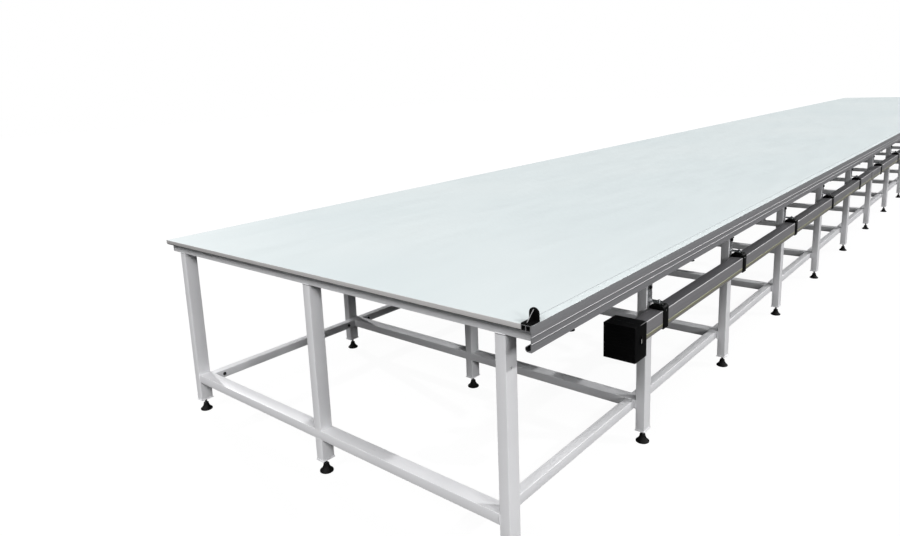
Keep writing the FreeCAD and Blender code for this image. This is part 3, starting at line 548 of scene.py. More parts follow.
def lathe(profile: Sequence[tuple[float, float]], count: int = 24, facing: Facing = Facing.ALONG_Z,
          sides: int | None = None) -> bpy.types.Mesh:
    """Turns a profile round its axis.

    Args:
        profile: Radius and height of each ring, upwards. The first and last rings are closed.
        count: Points in each ring.
        facing: The axis it is turned about.
        sides: Flat sides of the widest rings, such as 6 for a nut, whose apothem is the radius.

    Returns:
        The solid's mesh, about its own origin.
    """
    shape = bmesh.new()
    widest = max(radius for radius, _ in profile)
    rings = []
    for radius, height in profile:
        ring = []
        for k in range(count):
            turn = math.tau * k / count
            reach = radius
            if sides is not None:
                reach = min(radius, flat_reach(widest, turn, sides))
            ring.append(shape.verts.new((reach * math.cos(turn), reach * math.sin(turn), height)))
        rings.append(ring)
    for lower, upper in zip(rings, rings[1:]):
        for k in range(count):
            shape.faces.new((lower[k], lower[(k + 1) % count], upper[(k + 1) % count], upper[k]))
    shape.faces.new(reversed(rings[0]))
    shape.faces.new(rings[-1])
    mesh = bpy.data.meshes.new("turned")
    shape.to_mesh(mesh)
    shape.free()
    mesh.transform(facing.matrix())
    return cleaned(mesh)


def flat_reach(corner: float, turn: float, sides: int) -> float:
    """How far the flat side of a regular prism lies from its axis at an angle."""
    step = math.tau / sides
    return corner * math.cos(step / 2) / math.cos((turn % step) - step / 2)


def hexagon(corner: float, low: float, high: float, facing: Facing = Facing.ALONG_Z) -> bpy.types.Mesh:
    """A nut or a bolt head: a hexagonal prism whose corners are chamfered at both ends.

    Args:
        corner: How far its corners lie from its axis.
        low: Where it starts along its axis.
        high: Where it ends.
        facing: The way its axis runs.

    Returns:
        Its mesh.
    """
    inside = corner * math.cos(math.pi / HEXAGON) * CHAMFER_SHARE
    ease = (corner - inside) * CHAMFER_RISE_SHARE
    rings = [(inside, low), (corner, low + ease), (corner, high - ease), (inside, high)]
    return lathe(rings, 4 * HEXAGON, facing, sides=HEXAGON)


def joined(meshes: Sequence[bpy.types.Mesh]) -> bpy.types.Mesh:
    """Puts several meshes into one.

    Args:
        meshes: The meshes, which are removed.

    Returns:
        The one mesh.
    """
    shape = bmesh.new()
    for mesh in meshes:
        shape.from_mesh(mesh)
        bpy.data.meshes.remove(mesh)
    result = bpy.data.meshes.new("joined")
    shape.to_mesh(result)
    shape.free()
    return result


def moved(mesh: bpy.types.Mesh, x: float = 0.0, y: float = 0.0, z: float = 0.0) -> bpy.types.Mesh:
    """Moves a mesh and returns it."""
    mesh.transform(Matrix.Translation((x, y, z)))
    return mesh


# Geometry Nodes

class Kind(Enum):
    """The kinds of named inputs that a tree may have."""

    SHAPE = "NodeSocketGeometry"
    NUMBER = "NodeSocketFloat"
    COUNT = "NodeSocketInt"
    PLACE = "NodeSocketVector"
    PIECE = "NodeSocketObject"
    FINISH = "NodeSocketMaterial"


def tree_with(name: str, inputs: dict[str, Kind]) -> tuple[bpy.types.NodeTree, bpy.types.Node]:
    """Makes a Geometry Nodes tree with named inputs and one geometry output.

    Args:
        name: The tree's name.
        inputs: Each input's name and kind.

    Returns:
        The tree and its input node.
    """
    tree = bpy.data.node_groups.new(name, "GeometryNodeTree")
    for title, kind in inputs.items():
        tree.interface.new_socket(title, in_out="INPUT", socket_type=kind.value)
    tree.interface.new_socket("Geometry", in_out="OUTPUT", socket_type=Kind.SHAPE.value)
    return tree, add(tree, "NodeGroupInput")


def end_tree(tree: bpy.types.NodeTree, shape: bpy.types.NodeSocket, given: bpy.types.Node) -> None:
    """Ends a tree: makes its instances real, gives them their finish and hands them out.

    Args:
        tree: The tree.
        shape: What it has made.
        given: Its input node, which has a finish.
    """
    real = add(tree, "GeometryNodeRealizeInstances", {"Geometry": shape})
    dressed = add(tree, "GeometryNodeSetMaterial", {
        "Geometry": real.outputs["Geometry"], "Material": given.outputs["Finish"]})
    add(tree, "NodeGroupOutput", {"Geometry": dressed.outputs["Geometry"]})


def tube_section(tree: bpy.types.NodeTree, given: bpy.types.Node,
                 corner: float | bpy.types.NodeSocket) -> bpy.types.NodeSocket:
    """Adds a rectangle with rounded corners, as wide and as high as the tree's inputs say.

    Args:
        tree: The tree.
        given: Its input node, which has a width and a height.
        corner: Radius of the corners.

    Returns:
        The rectangle's curve.
    """
    section = add(tree, "GeometryNodeCurvePrimitiveQuadrilateral", {
        "Width": given.outputs["Width"], "Height": given.outputs["Height"]})
    eased = add(tree, "GeometryNodeFilletCurve", {
        "Curve": section.outputs["Curve"], "Radius": corner, "Count": CORNER_STEPS}, mode="POLY")
    return eased.outputs["Curve"]


def grown(tree: bpy.types.NodeTree, values: dict[str, object]) -> bpy.types.Mesh:
    """Runs a tree with its inputs set.

    Args:
        tree: The tree.
        values: Each input's name and value.

    Returns:
        The plain mesh it makes.
    """
    holder = bpy.data.objects.new(tree.name, bpy.data.meshes.new(tree.name))
    modifier = holder.modifiers.new(tree.name, "NODES")
    modifier.node_group = tree
    sockets = {item.name: item.identifier for item in tree.interface.items_tree
               if item.in_out == "INPUT"}
    for title, value in values.items():
        modifier[sockets[title]] = value
    return plain_mesh(holder)


class RowTree:
    """Sets a piece along a line, in even steps, and gives it its finish."""

    def __init__(self) -> None:
        """Builds the tree."""
        self.tree, given = tree_with("row_of_pieces", {
            "Piece": Kind.PIECE, "Count": Kind.COUNT, "Start": Kind.PLACE, "Step": Kind.PLACE,
            "Finish": Kind.FINISH})
        line = add(self.tree, "GeometryNodeMeshLine", {
            "Count": given.outputs["Count"], "Start Location": given.outputs["Start"],
            "Offset": given.outputs["Step"]})
        piece = add(self.tree, "GeometryNodeObjectInfo", {"Object": given.outputs["Piece"]})
        placed = add(self.tree, "GeometryNodeInstanceOnPoints", {
            "Points": line.outputs["Mesh"], "Instance": piece.outputs["Geometry"]})
        end_tree(self.tree, placed.outputs["Instances"], given)

    def fill(self, piece: "Piece", mesh: bpy.types.Mesh, finish: Finish, count: int, start: Vector,
             step: Vector) -> None:
        """Adds a row of a mesh to a piece.

        Args:
            piece: The piece that gets the row.
            mesh: What is repeated, about its own origin.
            finish: Its finish.
            count: How many.
            start: The first one's place.
            step: The way from one to the next.
        """
        source = bpy.data.objects.new("source", mesh)
        bpy.context.scene.collection.objects.link(source)
        row = grown(self.tree, {"Piece": source, "Count": count, "Start": tuple(start),
                                "Step": tuple(step), "Finish": finish.material()})
        bpy.data.objects.remove(source)
        piece.add(row, finish)


class ThreadTree:
    """Winds a three-sided thread round a stud."""

    def __init__(self) -> None:
        """Builds the tree."""
        self.tree, given = tree_with("stud_thread", {
            "Radius": Kind.NUMBER, "Turns": Kind.NUMBER, "Length": Kind.NUMBER,
            "Depth": Kind.NUMBER, "Finish": Kind.FINISH})
        spiral = add(self.tree, "GeometryNodeCurveSpiral", {
            "Resolution": 2 * HEXAGON, "Rotations": given.outputs["Turns"],
            "Start Radius": given.outputs["Radius"], "End Radius": given.outputs["Radius"],
            "Height": given.outputs["Length"]})
        ridge = add(self.tree, "GeometryNodeCurvePrimitiveCircle", {
            "Resolution": 3, "Radius": given.outputs["Depth"]})
        wound = add(self.tree, "GeometryNodeCurveToMesh", {
            "Curve": spiral.outputs["Curve"], "Profile Curve": ridge.outputs["Curve"],
            "Fill Caps": True})
        end_tree(self.tree, wound.outputs["Mesh"], given)

    @staticmethod
    def core(radius: float, pitch: float) -> float:
        """The radius of the plain shaft that a thread is wound on."""
        return radius - pitch * CORE_SHARE

    def run(self, radius: float, pitch: float, low: float, high: float, finish: Finish) -> bpy.types.Mesh:
        """Winds a thread.

        Args:
            radius: Its outer radius.
            pitch: Height of one turn.
            low: Height of its lower end.
            high: Height of its upper end.
            finish: Its finish.

        Returns:
            Its mesh, round the origin's upright line.
        """
        depth = pitch * THREAD_SHARE
        mesh = grown(self.tree, {"Radius": radius - depth, "Turns": (high - low) / pitch,
                                 "Length": high - low, "Depth": depth, "Finish": finish.material()})
        return moved(mesh, z=low)


class TubeGroup:
    """One straight welded tube with rounded corners, as a group for larger trees."""

    def __init__(self) -> None:
        """Builds the group."""
        self.tree, given = tree_with("rounded_tube", {
            "Start": Kind.PLACE, "End": Kind.PLACE, "Width": Kind.NUMBER, "Height": Kind.NUMBER,
            "Corner": Kind.NUMBER})
        line = add(self.tree, "GeometryNodeCurvePrimitiveLine", {
            "Start": given.outputs["Start"], "End": given.outputs["End"]})
        section = tube_section(self.tree, given, given.outputs["Corner"])
        tube = add(self.tree, "GeometryNodeCurveToMesh", {
            "Curve": line.outputs["Curve"], "Profile Curve": section, "Fill Caps": True})
        add(self.tree, "NodeGroupOutput", {"Geometry": tube.outputs["Mesh"]})


class WeldGroup:
    """One weld bead round a tube's end: a closed rope with uneven ripples."""

    corner: float = 3 * MM
    points: int = 44
    rope_sides: int = 6
    ripples: float = 190.0
    swing: float = 2.2 * MM

    def __init__(self) -> None:
        """Builds the group."""
        self.tree, given = tree_with("weld_bead", {
            "Place": Kind.PLACE, "Turn": Kind.PLACE, "Width": Kind.NUMBER, "Height": Kind.NUMBER,
            "Bead": Kind.NUMBER})
        path = add(self.tree, "GeometryNodeResampleCurve", {
            "Curve": tube_section(self.tree, given, self.corner), "Count": self.points})
        ripple = add(self.tree, "ShaderNodeTexNoise", {"Scale": self.ripples, "Detail": 0.0},
                     noise_dimensions="3D")
        centred = add(self.tree, "ShaderNodeVectorMath", {0: ripple.outputs["Color"], 1: even(0.5)},
                      operation="SUBTRACT")
        shake = add(self.tree, "ShaderNodeVectorMath", {0: centred.outputs[0], "Scale": self.swing},
                    operation="SCALE")
        uneven = add(self.tree, "GeometryNodeSetPosition", {
            "Geometry": path.outputs["Curve"], "Offset": shake.outputs[0]})
        rope = add(self.tree, "GeometryNodeCurvePrimitiveCircle", {
            "Resolution": self.rope_sides, "Radius": given.outputs["Bead"]})
        bead = add(self.tree, "GeometryNodeCurveToMesh", {
            "Curve": uneven.outputs["Geometry"], "Profile Curve": rope.outputs["Curve"]})
        turned = add(self.tree, "GeometryNodeTransform", {
            "Geometry": bead.outputs["Mesh"], "Translation": given.outputs["Place"],
            "Rotation": given.outputs["Turn"]})
        add(self.tree, "NodeGroupOutput", {"Geometry": turned.outputs["Geometry"]})


# Pieces

class Piece:
    """One visible piece: meshes in their places, each with its finish, riding on one body."""

    def __init__(self, name: str, body: str) -> None:
        """Starts an empty piece.

        Args:
            name: The piece's name.
            body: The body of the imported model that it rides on.
        """
        self.name = name
        self.body = body
        self.shape = bmesh.new()
        self.finishes: list[Finish] = []

    def add(self, mesh: bpy.types.Mesh, finish: Finish) -> "Piece":
        """Adds a mesh that is already in its place.

        Args:
            mesh: The mesh, which is removed.
            finish: Its finish.

        Returns:
            The piece.
        """
        if finish not in self.finishes:
            self.finishes.append(finish)
        index = self.finishes.index(finish)
        known = len(self.shape.faces)
        self.shape.from_mesh(mesh)
        self.shape.faces.ensure_lookup_table()
        for face in self.shape.faces[known:]:
            face.material_index = index
        bpy.data.meshes.remove(mesh)
        return self

    def cap(self, height: float, finish: Finish, slack: float = 0.1 * MM) -> None:
        """Gives the level faces at one height a finish of their own.

        Args:
            height: Their height.
            finish: What they are finished in.
            slack: How far from that height they may lie.
        """
        self.finishes.append(finish)
        self.shape.normal_update()
        for face in self.shape.faces:
            level = face.normal.z > math.cos(SMOOTH_ANGLE)
            if level and abs(face.calc_center_median().z - height) < slack:
                face.material_index = len(self.finishes) - 1

    def done(self, nodes: Sequence[str], slot: str | None = None) -> bpy.types.Object:
        """Makes the object and hands it to the frame.

        Args:
            nodes: The nodes that it stands for.
            slot: The record's material slot that it stands for; not used.

        Returns:
            The finished object.
        """
        mesh = bpy.data.meshes.new(self.name)
        self.shape.to_mesh(mesh)
        self.shape.free()
        mesh.shade_smooth()
        mesh.set_sharp_from_angle(angle=SMOOTH_ANGLE)
        for finish in self.finishes:
            mesh.materials.append(finish.material())
        piece = bpy.data.objects.new(self.name, mesh)
        bpy.context.scene.collection.objects.link(piece)
        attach(piece, self.body)
        if nodes:
            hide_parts(*nodes)
        log.info("%s: %d faces on %s", self.name, len(mesh.polygons), self.body)
        return piece


def dress(node: str, finish: Finish) -> None:
    """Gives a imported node, which keeps its shape, its finish.

    Args:
        node: The node's name.
        finish: The finish.
    """
    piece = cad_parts[node]
    piece.data.materials.clear()
    piece.data.materials.append(finish.material())
    log.info("%s: dressed in %s", node, finish.name)


# The table's layout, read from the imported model

@dataclass
class Layout:
    """Where the table's main parts are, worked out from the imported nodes.

    Attributes:
        pad_radius: Radius of a foot's pad.
        beam_height: Height of a beam's tube.
        stretcher_height: Height of a low stretcher's tube.
        tube_width: Width of a leg, across the table.
        tube_depth: Depth of a leg, along the table.
        bead: Radius of the beads on the edge rail's fascia.
        strap_thick: Thickness of the brackets' strip.
        hole_reach: From the top of a strap to its first hole.
        hole_clear: From a bracket's arm to the lowest hole at least.
        hole_pitch: From one hole to the next.
        bolted: The holes that have bolts, counted from the top.
        feet: The nodes of the feet, from the near end.
        frames: The nodes of the frames, from the near end.
    """

    pad_radius: float = 29 * MM
    beam_height: float = 40 * MM
    stretcher_height: float = 40 * MM
    tube_width: float = 40 * MM
    tube_depth: float = 60 * MM
    bead: float = 1.5 * MM
    strap_thick: float = 3 * MM
    hole_reach: float = 21 * MM
    hole_clear: float = 30 * MM
    hole_pitch: float = 25 * MM
    bolted: tuple[int, ...] = (0, 2)
    feet: list[str] = field(default_factory=lambda: names("feet_"))
    frames: list[str] = field(default_factory=lambda: names("frame_", "frame_bolts"))

    def __post_init__(self) -> None:
        """Reads the places."""
        low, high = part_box(self.feet[0])
        self.rows = (low.x + self.pad_radius, (low.x + high.x) / 2, high.x - self.pad_radius)
        self.row_pitch = self.rows[1] - self.rows[0]
        self.stations = [sum(corner.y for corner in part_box(name)) / 2 for name in self.feet]
        self.bay = self.stations[1] - self.stations[0]
        self.plate_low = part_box(self.frames[0])[0].z
        rail_low, rail_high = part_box("edge_rail_1")
        self.top = rail_high.z
        self.fascia = rail_high.x - self.bead
        self.box_side = rail_low.x
        self.board_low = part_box("top_board_1")[0].z
        self.beam_low = self.board_low - self.beam_height
        self.stretcher_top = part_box("side_stretchers")[1].z
        bracket_low, bracket_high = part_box("rail_brackets")
        self.arm_low, self.strap_top = bracket_low.z, bracket_high.z
        room = self.strap_top - self.arm_low - self.hole_reach - self.hole_clear
        self.hole_heights = [self.strap_top - self.hole_reach - self.hole_pitch * index
                             for index in range(int(room / self.hole_pitch) + 1)]
        self.bolt_heights = [self.hole_heights[index] for index in self.bolted]


def names(start: str, *without: str) -> list[str]:
    """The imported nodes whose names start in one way, in order."""
    return sorted(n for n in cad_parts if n.startswith(start) and n not in without)


# Sub-assemblies

@dataclass
class WeldedFrames:
    """The sixteen frames: three legs, a top beam and a lower stretcher, welded together."""

    layout: Layout
    corner: float = 2 * MM
    bead: float = 2.2 * MM
    # Painted shade line under the beams: how far below them it starts, and the gap it leaves.
    shade_line_depth: float = 2.8 * MM
    shade_line_clear: float = 0.2 * MM
    plate_thick: float = 4 * MM
    plate_lip: float = 2.2 * MM
    fascia_thick: float = 3 * MM
    hole_radius: float = 4.2 * MM
    hole_depth: float = 12 * MM

    def build(self) -> None:
        """Makes one piece for each frame, on the table's own body."""
        tree = self.tree()
        under = self.layout.beam_low
        # A dark line just under the beams, on the legs' tops and their welds, is painted shade.
        coat = replace(POWDER_COAT, name="powder_coated_frame_steel", zones=(
            Zone(under - self.shade_line_depth, under - self.shade_line_clear, "#2E2D30", 0.8),))
        for number, (node, y) in enumerate(zip(self.layout.frames, self.layout.stations), start=1):
            mesh = grown(tree, {"Place": (0.0, y, 0.0), "Finish": coat.material()})
            leg = self.rail_leg(y, drilled=number == 1)
            piece = Piece(f"welded_frame_{number:02d}", "table")
            piece.add(mesh, coat).add(leg, coat).done([node], "frame_paint")

    def tree(self) -> bpy.types.NodeTree:
        """Builds the tree that makes one frame at a place along the table.

        Returns:
            The tree.
        """
        tree, given = tree_with("welded_frame", {"Place": Kind.PLACE, "Finish": Kind.FINISH})
        whole = add(tree, "GeometryNodeJoinGeometry")
        for group, values in self.parts():
            part = add(tree, "GeometryNodeGroup", values, node_tree=group)
            tree.links.new(part.outputs[0], whole.inputs["Geometry"])
        placed = add(tree, "GeometryNodeTransform", {
            "Geometry": whole.outputs["Geometry"], "Translation": given.outputs["Place"]})
        end_tree(tree, placed.outputs["Geometry"], given)
        return tree

    def parts(self) -> list[tuple[bpy.types.NodeTree, dict[str, object]]]:
        """Lists the tubes and the weld beads of one frame, but for the leg on the rails' side.

        Returns:
            Each one's group and the values of the group's inputs.
        """
        here = self.layout
        tube, weld = TubeGroup().tree, WeldGroup().tree
        left, middle, right = here.rows
        low, high = here.stretcher_top - here.stretcher_height, here.stretcher_top
        leg_low = here.plate_low + self.plate_thick
        lips = 2 * self.plate_lip
        leg = {"Width": here.tube_width, "Height": here.tube_depth, "Corner": self.corner}
        foot = {"Width": here.tube_width + lips, "Height": here.tube_depth + lips, "Corner": self.plate_lip}
        bead = {"Width": here.tube_width, "Height": here.tube_depth, "Bead": self.bead}
        parts = [(tube, {"Start": (x, 0, start), "End": (x, 0, end), **leg}) for x, start, end in (
            (left, leg_low, here.beam_low), (middle, leg_low, low), (middle, high, here.beam_low))]
        for x in here.rows:
            parts.append((tube, {"Start": (x, 0, here.plate_low), "End": (x, 0, leg_low), **foot}))
            parts += [(weld, {"Place": (x, 0, z), **bead}) for z in (leg_low, here.beam_low)]
        beam = (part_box(here.frames[0])[0].x, here.fascia - self.fascia_thick)
        stretcher = (left + here.tube_width / 2, right - here.tube_width / 2)
        axis = high - here.stretcher_height / 2
        for (start, end), z, height in (
                (beam, here.beam_low + here.beam_height / 2, here.beam_height),
                (stretcher, axis, here.stretcher_height)):
            parts.append((tube, {"Start": (start, 0, z), "End": (end, 0, z), "Width": here.tube_depth,
                                 "Height": height, "Corner": self.corner}))
        lying = {**bead, "Turn": (0, math.pi / 2, 0), "Width": here.stretcher_height}
        parts += [(weld, {"Place": (x, 0, axis), **lying}) for x in stretcher]
        flat = {**bead, "Height": here.tube_depth - 2 * self.corner}
        parts += [(weld, {"Place": (middle, 0, z), **flat}) for z in (low, high)]
        return parts

    def rail_leg(self, y: float, drilled: bool) -> bpy.types.Mesh:
        """Makes the leg on the rails' side, with its open bolt hole where it carries no bracket.

        Args:
            y: The frame's place along the table.
            drilled: Whether it has the open hole.

        Returns:
            The leg's mesh.
        """
        here = self.layout
        half_width, half_depth = here.tube_width / 2, here.tube_depth / 2
        x = here.rows[-1]
        outline = rectangle((x - half_width, y - half_depth), (x + half_width, y + half_depth),
                            self.corner)
        leg = plate([outline], here.plate_low + self.plate_thick, here.beam_low, Facing.ALONG_Z)
        if not drilled:
            return leg
        drill = lathe([(self.hole_radius, -self.hole_depth), (self.hole_radius, self.hole_depth)],
                      count=16, facing=Facing.ALONG_X)
        cutter = bpy.data.objects.new("drill", moved(drill, x + half_width, y, here.bolt_heights[-1]))
        bpy.context.scene.collection.objects.link(cutter)
        holder = bpy.data.objects.new("leg", leg)
        modifier = holder.modifiers.new("hole", "BOOLEAN")
        modifier.object, modifier.solver = cutter, "EXACT"
        result = plain_mesh(holder)
        bpy.data.objects.remove(cutter)
        return result


@dataclass
class LevellingFeet:
    """The feet of every frame: a moulded bell, a threaded stud and a lock nut."""

    layout: Layout
    stud_radius: float = 6 * MM
    stud_low: float = 30 * MM
    stud_above: float = 60 * MM
    tip: float = 1 * MM
    pitch: float = 1.75 * MM
    thread_low: float = 35 * MM
    thread_above: float = 44 * MM
    nut_corner: float = 11 * MM
    nut_height: float = 7 * MM
    pad_mm: tuple[tuple[float, float], ...] = (
        (27.4, 0.0), (29.0, 1.2), (29.0, 4.4), (28.2, 5.8), (25.4, 8.0), (21.6, 11.6), (18.2, 16.0),
        (15.4, 21.0), (13.4, 26.0), (12.5, 30.0), (12.1, 34.8), (11.2, 36.0), (6.3, 36.0))

    def build(self) -> None:
        """Makes one piece for each group of three feet, on that group's body."""
        rows, thread = RowTree(), ThreadTree()
        here = self.layout
        nut_high = here.plate_low
        thread_high, stud_high = nut_high + self.thread_above, nut_high + self.stud_above
        core = thread.core(self.stud_radius, self.pitch)
        shaft = [(core, self.stud_low), (core, stud_high - self.tip), (core - self.tip, stud_high)]
        for node, y in zip(here.feet, here.stations):
            piece = Piece(f"levelling_{node}", node)
            bell = lathe([(r * MM, z * MM) for r, z in self.pad_mm], count=28)
            stud = lathe(shaft, count=12)
            ridge = thread.run(self.stud_radius, self.pitch, self.thread_low, thread_high, DULL_ZINC)
            nut = hexagon(self.nut_corner, nut_high - self.nut_height, nut_high)
            for mesh, finish in ((bell, PAD_BLACK), (stud, DULL_ZINC), (ridge, DULL_ZINC),
                                 (nut, DULL_ZINC)):
                rows.fill(piece, mesh, finish, len(here.rows), Vector((here.rows[0], y, 0)),
                          Vector((here.row_pitch, 0, 0)))
            piece.done([node], "foot_black")


@dataclass
class SideStretchers:
    """The lengthwise tubes between the frames and the bolts that hold them on their spigots."""

    layout: Layout
    side: float = 40 * MM
    corner: float = 3 * MM
    gap: float = 8 * MM
    joint: float = 0.6 * MM
    bolt_reach: float = 50 * MM
    head_corner: float = 7.5 * MM
    head_height: float = 5.3 * MM
    washer_radius: float = 8.5 * MM
    washer_thick: float = 1.4 * MM

    def centres(self) -> tuple[float, float]:
        """The two rows of stretchers, just inboard of the outer legs."""
        offset = self.layout.tube_width / 2 + self.gap + self.side / 2
        return self.layout.rows[0] + offset, self.layout.rows[2] - offset

    def build(self) -> None:
        """Makes the stretchers, and their bolts with the brackets' bolts."""
        here = self.layout
        rows = RowTree()
        bays = len(here.stations) - 1
        length = here.bay - here.tube_depth
        step = Vector((0, here.bay, 0))
        first = here.stations[0] + here.tube_depth / 2
        half = self.side / 2
        section = rectangle((-half, -half), (half, half), self.corner)
        z = here.stretcher_top - half
        tubes = Piece("side_stretcher_tubes", "table")
        bolts = Piece("hexagon_bolts", "table")
        for centre, facing in zip(self.centres(), (1, -1)):
            tube = plate([section], self.joint, length - self.joint, Facing.ALONG_Y)
            rows.fill(tubes, tube, POWDER_COAT, bays, Vector((centre, first, z)), step)
            for reach in (self.bolt_reach, length - self.bolt_reach):
                start = Vector((centre + facing * half, first + reach, z))
                rows.fill(bolts, self.bolt(facing), BLACK_OXIDE, bays, start, step)
        face = here.rows[2] + here.tube_width / 2 + here.strap_thick
        for height in here.bolt_heights:
            start = Vector((face, here.stations[1], height))
            rows.fill(bolts, self.bolt(1), BLACK_OXIDE, bays, start, step)
        tubes.done(["side_stretchers"], "frame_paint")
        bolts.done(["frame_bolts"], "zinc_steel")

    def bolt(self, facing: int) -> bpy.types.Mesh:
        """Makes a washer and a hexagon head on a face.

        Args:
            facing: 1 for a bolt that points along +X, -1 for one along -X.

        Returns:
            Their mesh, about the hole's own place.
        """
        washer = lathe([(self.washer_radius, 0), (self.washer_radius, self.washer_thick)],
                       count=20, facing=Facing.ALONG_X)
        head = hexagon(self.head_corner, self.washer_thick, self.washer_thick + self.head_height,
                       Facing.ALONG_X)
        mesh = joined([washer, head])
        if facing < 0:
            mesh.transform(Matrix.Rotation(math.pi, 4, "Z"))
        return mesh


@dataclass
class Worktop:
    """The laminated boards and the edging round them."""

    layout: Layout
    band: float = 2 * MM
    ease: float = 0.8 * MM
    end_ease: float = 0.3 * MM
    # The strip of painted shade on the boards' edge below the edging.
    shade_strip_inset: float = 0.3 * MM
    shade_strip_lap: float = 0.5 * MM

    def build(self) -> None:
        """Dresses the boards, whose edge below the edging is painted near-black as shade, and makes the
        edging.
        """
        here = self.layout
        boards = names("top_board_")
        low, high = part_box("edge_bands")
        # The board's edge below the edging is painted near-black: painted shade under the edging.
        board_finish = replace(LAMINATE, zones=(
            Zone(here.board_low + self.shade_strip_inset, low.z + self.shade_strip_lap, "#3C3A3B", 0.95),))
        for board in boards:
            dress(board, board_finish)
        side = rectangle((low.x, low.z), (low.x + self.band, here.top), self.ease)
        piece = Piece("edge_banding", "table")
        joints = [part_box(board)[0].y for board in boards[1:]]
        ends = [low.y + self.band, *joints, high.y - self.band]
        for start, end in zip(ends, ends[1:]):
            piece.add(plate([side], start, end, Facing.ALONG_Y), EDGING)
        for start in (low.y, high.y - self.band):
            strip = rectangle((start, low.z), (start + self.band, here.top), self.ease)
            piece.add(plate([strip], low.x, here.box_side, Facing.ALONG_X, self.end_ease), EDGING)
        piece.done(["edge_bands"], "edge_band_grey")


@dataclass
class EdgeRail:
    """The extruded rail along the right edge: a two-cell box, a beaded fascia and a rolled hook."""

    layout: Layout
    thick: float = 3 * MM
    box_width: float = 34 * MM
    box_height: float = 20 * MM
    wall: float = 2 * MM
    beads: tuple[float, ...] = (35 * MM, 56 * MM)
    groove: float = 1 * MM
    drop: float = 82 * MM
    hook: float = 10 * MM
    ease: float = 0.5 * MM
    rebate: float = 1.3 * MM
    seam: float = 2.6 * MM
    cell_corner: float = 0.8 * MM
    # The films of painted shade inside the cells and the hook.
    shade_film: float = 0.3 * MM
    shade_film_lap: float = 0.05 * MM
    shade_film_inset: float = 1 * MM
    joint: float = 0.2 * MM
    hook_turn: tuple[int, int] = (270, 140)
    hook_steps: int = 12

    def build(self) -> None:
        """Makes one piece for each length of rail."""
        top = self.layout.top
        finish = rail_finish(top, [top - drop for drop in self.beads], self.layout.bead, self.groove)
        for number in range(1, RAIL_COUNT + 1):
            node = f"edge_rail_{number}"
            low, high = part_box(node)
            start, end = low.y + self.joint, high.y - self.joint
            piece = Piece(f"edge_rail_length_{number}", "table")
            piece.add(plate(self.section(), start, end, Facing.ALONG_Y), finish)
            # Near-black films of painted shade inside the cells and the hook.
            for loops in self.shade_films():
                piece.add(plate(loops, start + self.shade_film_inset, end - self.shade_film_inset,
                                Facing.ALONG_Y), RAIL_INSIDE_SHADE)
            piece.cap(top, RAIL_TOP)
            piece.done([node], "rail_aluminium")

    def cells(self, inset: float) -> list[list[Vector]]:
        """Draws the box's two cells, beside the fascia's top corner.

        Args:
            inset: How far they are drawn in from their walls.

        Returns:
            Their outlines.
        """
        width = (self.box_width - 3 * self.wall) / 2
        loops = []
        for index in range(2):
            left = -self.thick - self.box_width + self.wall + index * (width + self.wall)
            loops.append(rectangle((left + inset, -self.box_height + self.wall + inset),
                                   (left + width - inset, -self.wall - inset), self.cell_corner))
        return loops

    def shade_films(self) -> list[list[list[Vector]]]:
        """Draws the thin films of painted shade on the walls of the cells and inside the hook.

        Returns:
            Each layer's outline and holes, in the table's X and Z.
        """
        film, lap = self.shade_film, self.shade_film_lap
        inside = self.hook - self.wall
        hook = self.hook_strip(inside + lap, inside - film)
        sections = [[outer, inner] for outer, inner in zip(self.cells(-lap), self.cells(film))]
        place = Vector((self.layout.fascia, self.layout.top))
        return [[[point + place for point in loop] for loop in loops]
                for loops in (*sections, [hook])]

    def section(self) -> list[list[Vector]]:
        """Draws the rail.

        Returns:
            Its outline and its two cells, in the table's X and Z.
        """
        bead = self.layout.bead
        back = -self.thick
        left = back - self.box_width
        outline = [Vector(place) for place in ((left, -self.box_height), (left, -self.rebate),
                                               (left + self.seam, -self.rebate), (left + self.seam, 0))]
        outline += arc(-self.ease, -self.ease, self.ease, 90, 0, 3)
        for drop in self.beads:
            outline += arc(0, -drop, bead, 90, -90, 6)
            outline += arc(0, -drop - bead - self.groove, self.groove, 90, 270, 4)[1:]
        outline += [Vector((0, -self.drop + self.ease)), Vector((-self.ease, -self.drop))]
        outline += self.hook_strip(self.hook, self.hook - self.wall)
        outline += [Vector((back, -self.drop + self.wall)), Vector((back, -self.box_height))]
        place = Vector((self.layout.fascia, self.layout.top))
        return [[point + place for point in loop] for loop in (outline, *self.cells(0))]

    def hook_strip(self, outer: float, inner: float) -> list[Vector]:
        """Draws a strip that follows the hook, out along one radius and back along another.

        Args:
            outer: The first radius.
            inner: The second radius.

        Returns:
            Its points, beside the fascia's top corner.
        """
        x, z = -self.thick - self.hook, -self.drop + self.hook
        first, last = self.hook_turn
        return (arc(x, z, outer, first, last, self.hook_steps)
                + arc(x, z, inner, last, first, self.hook_steps))


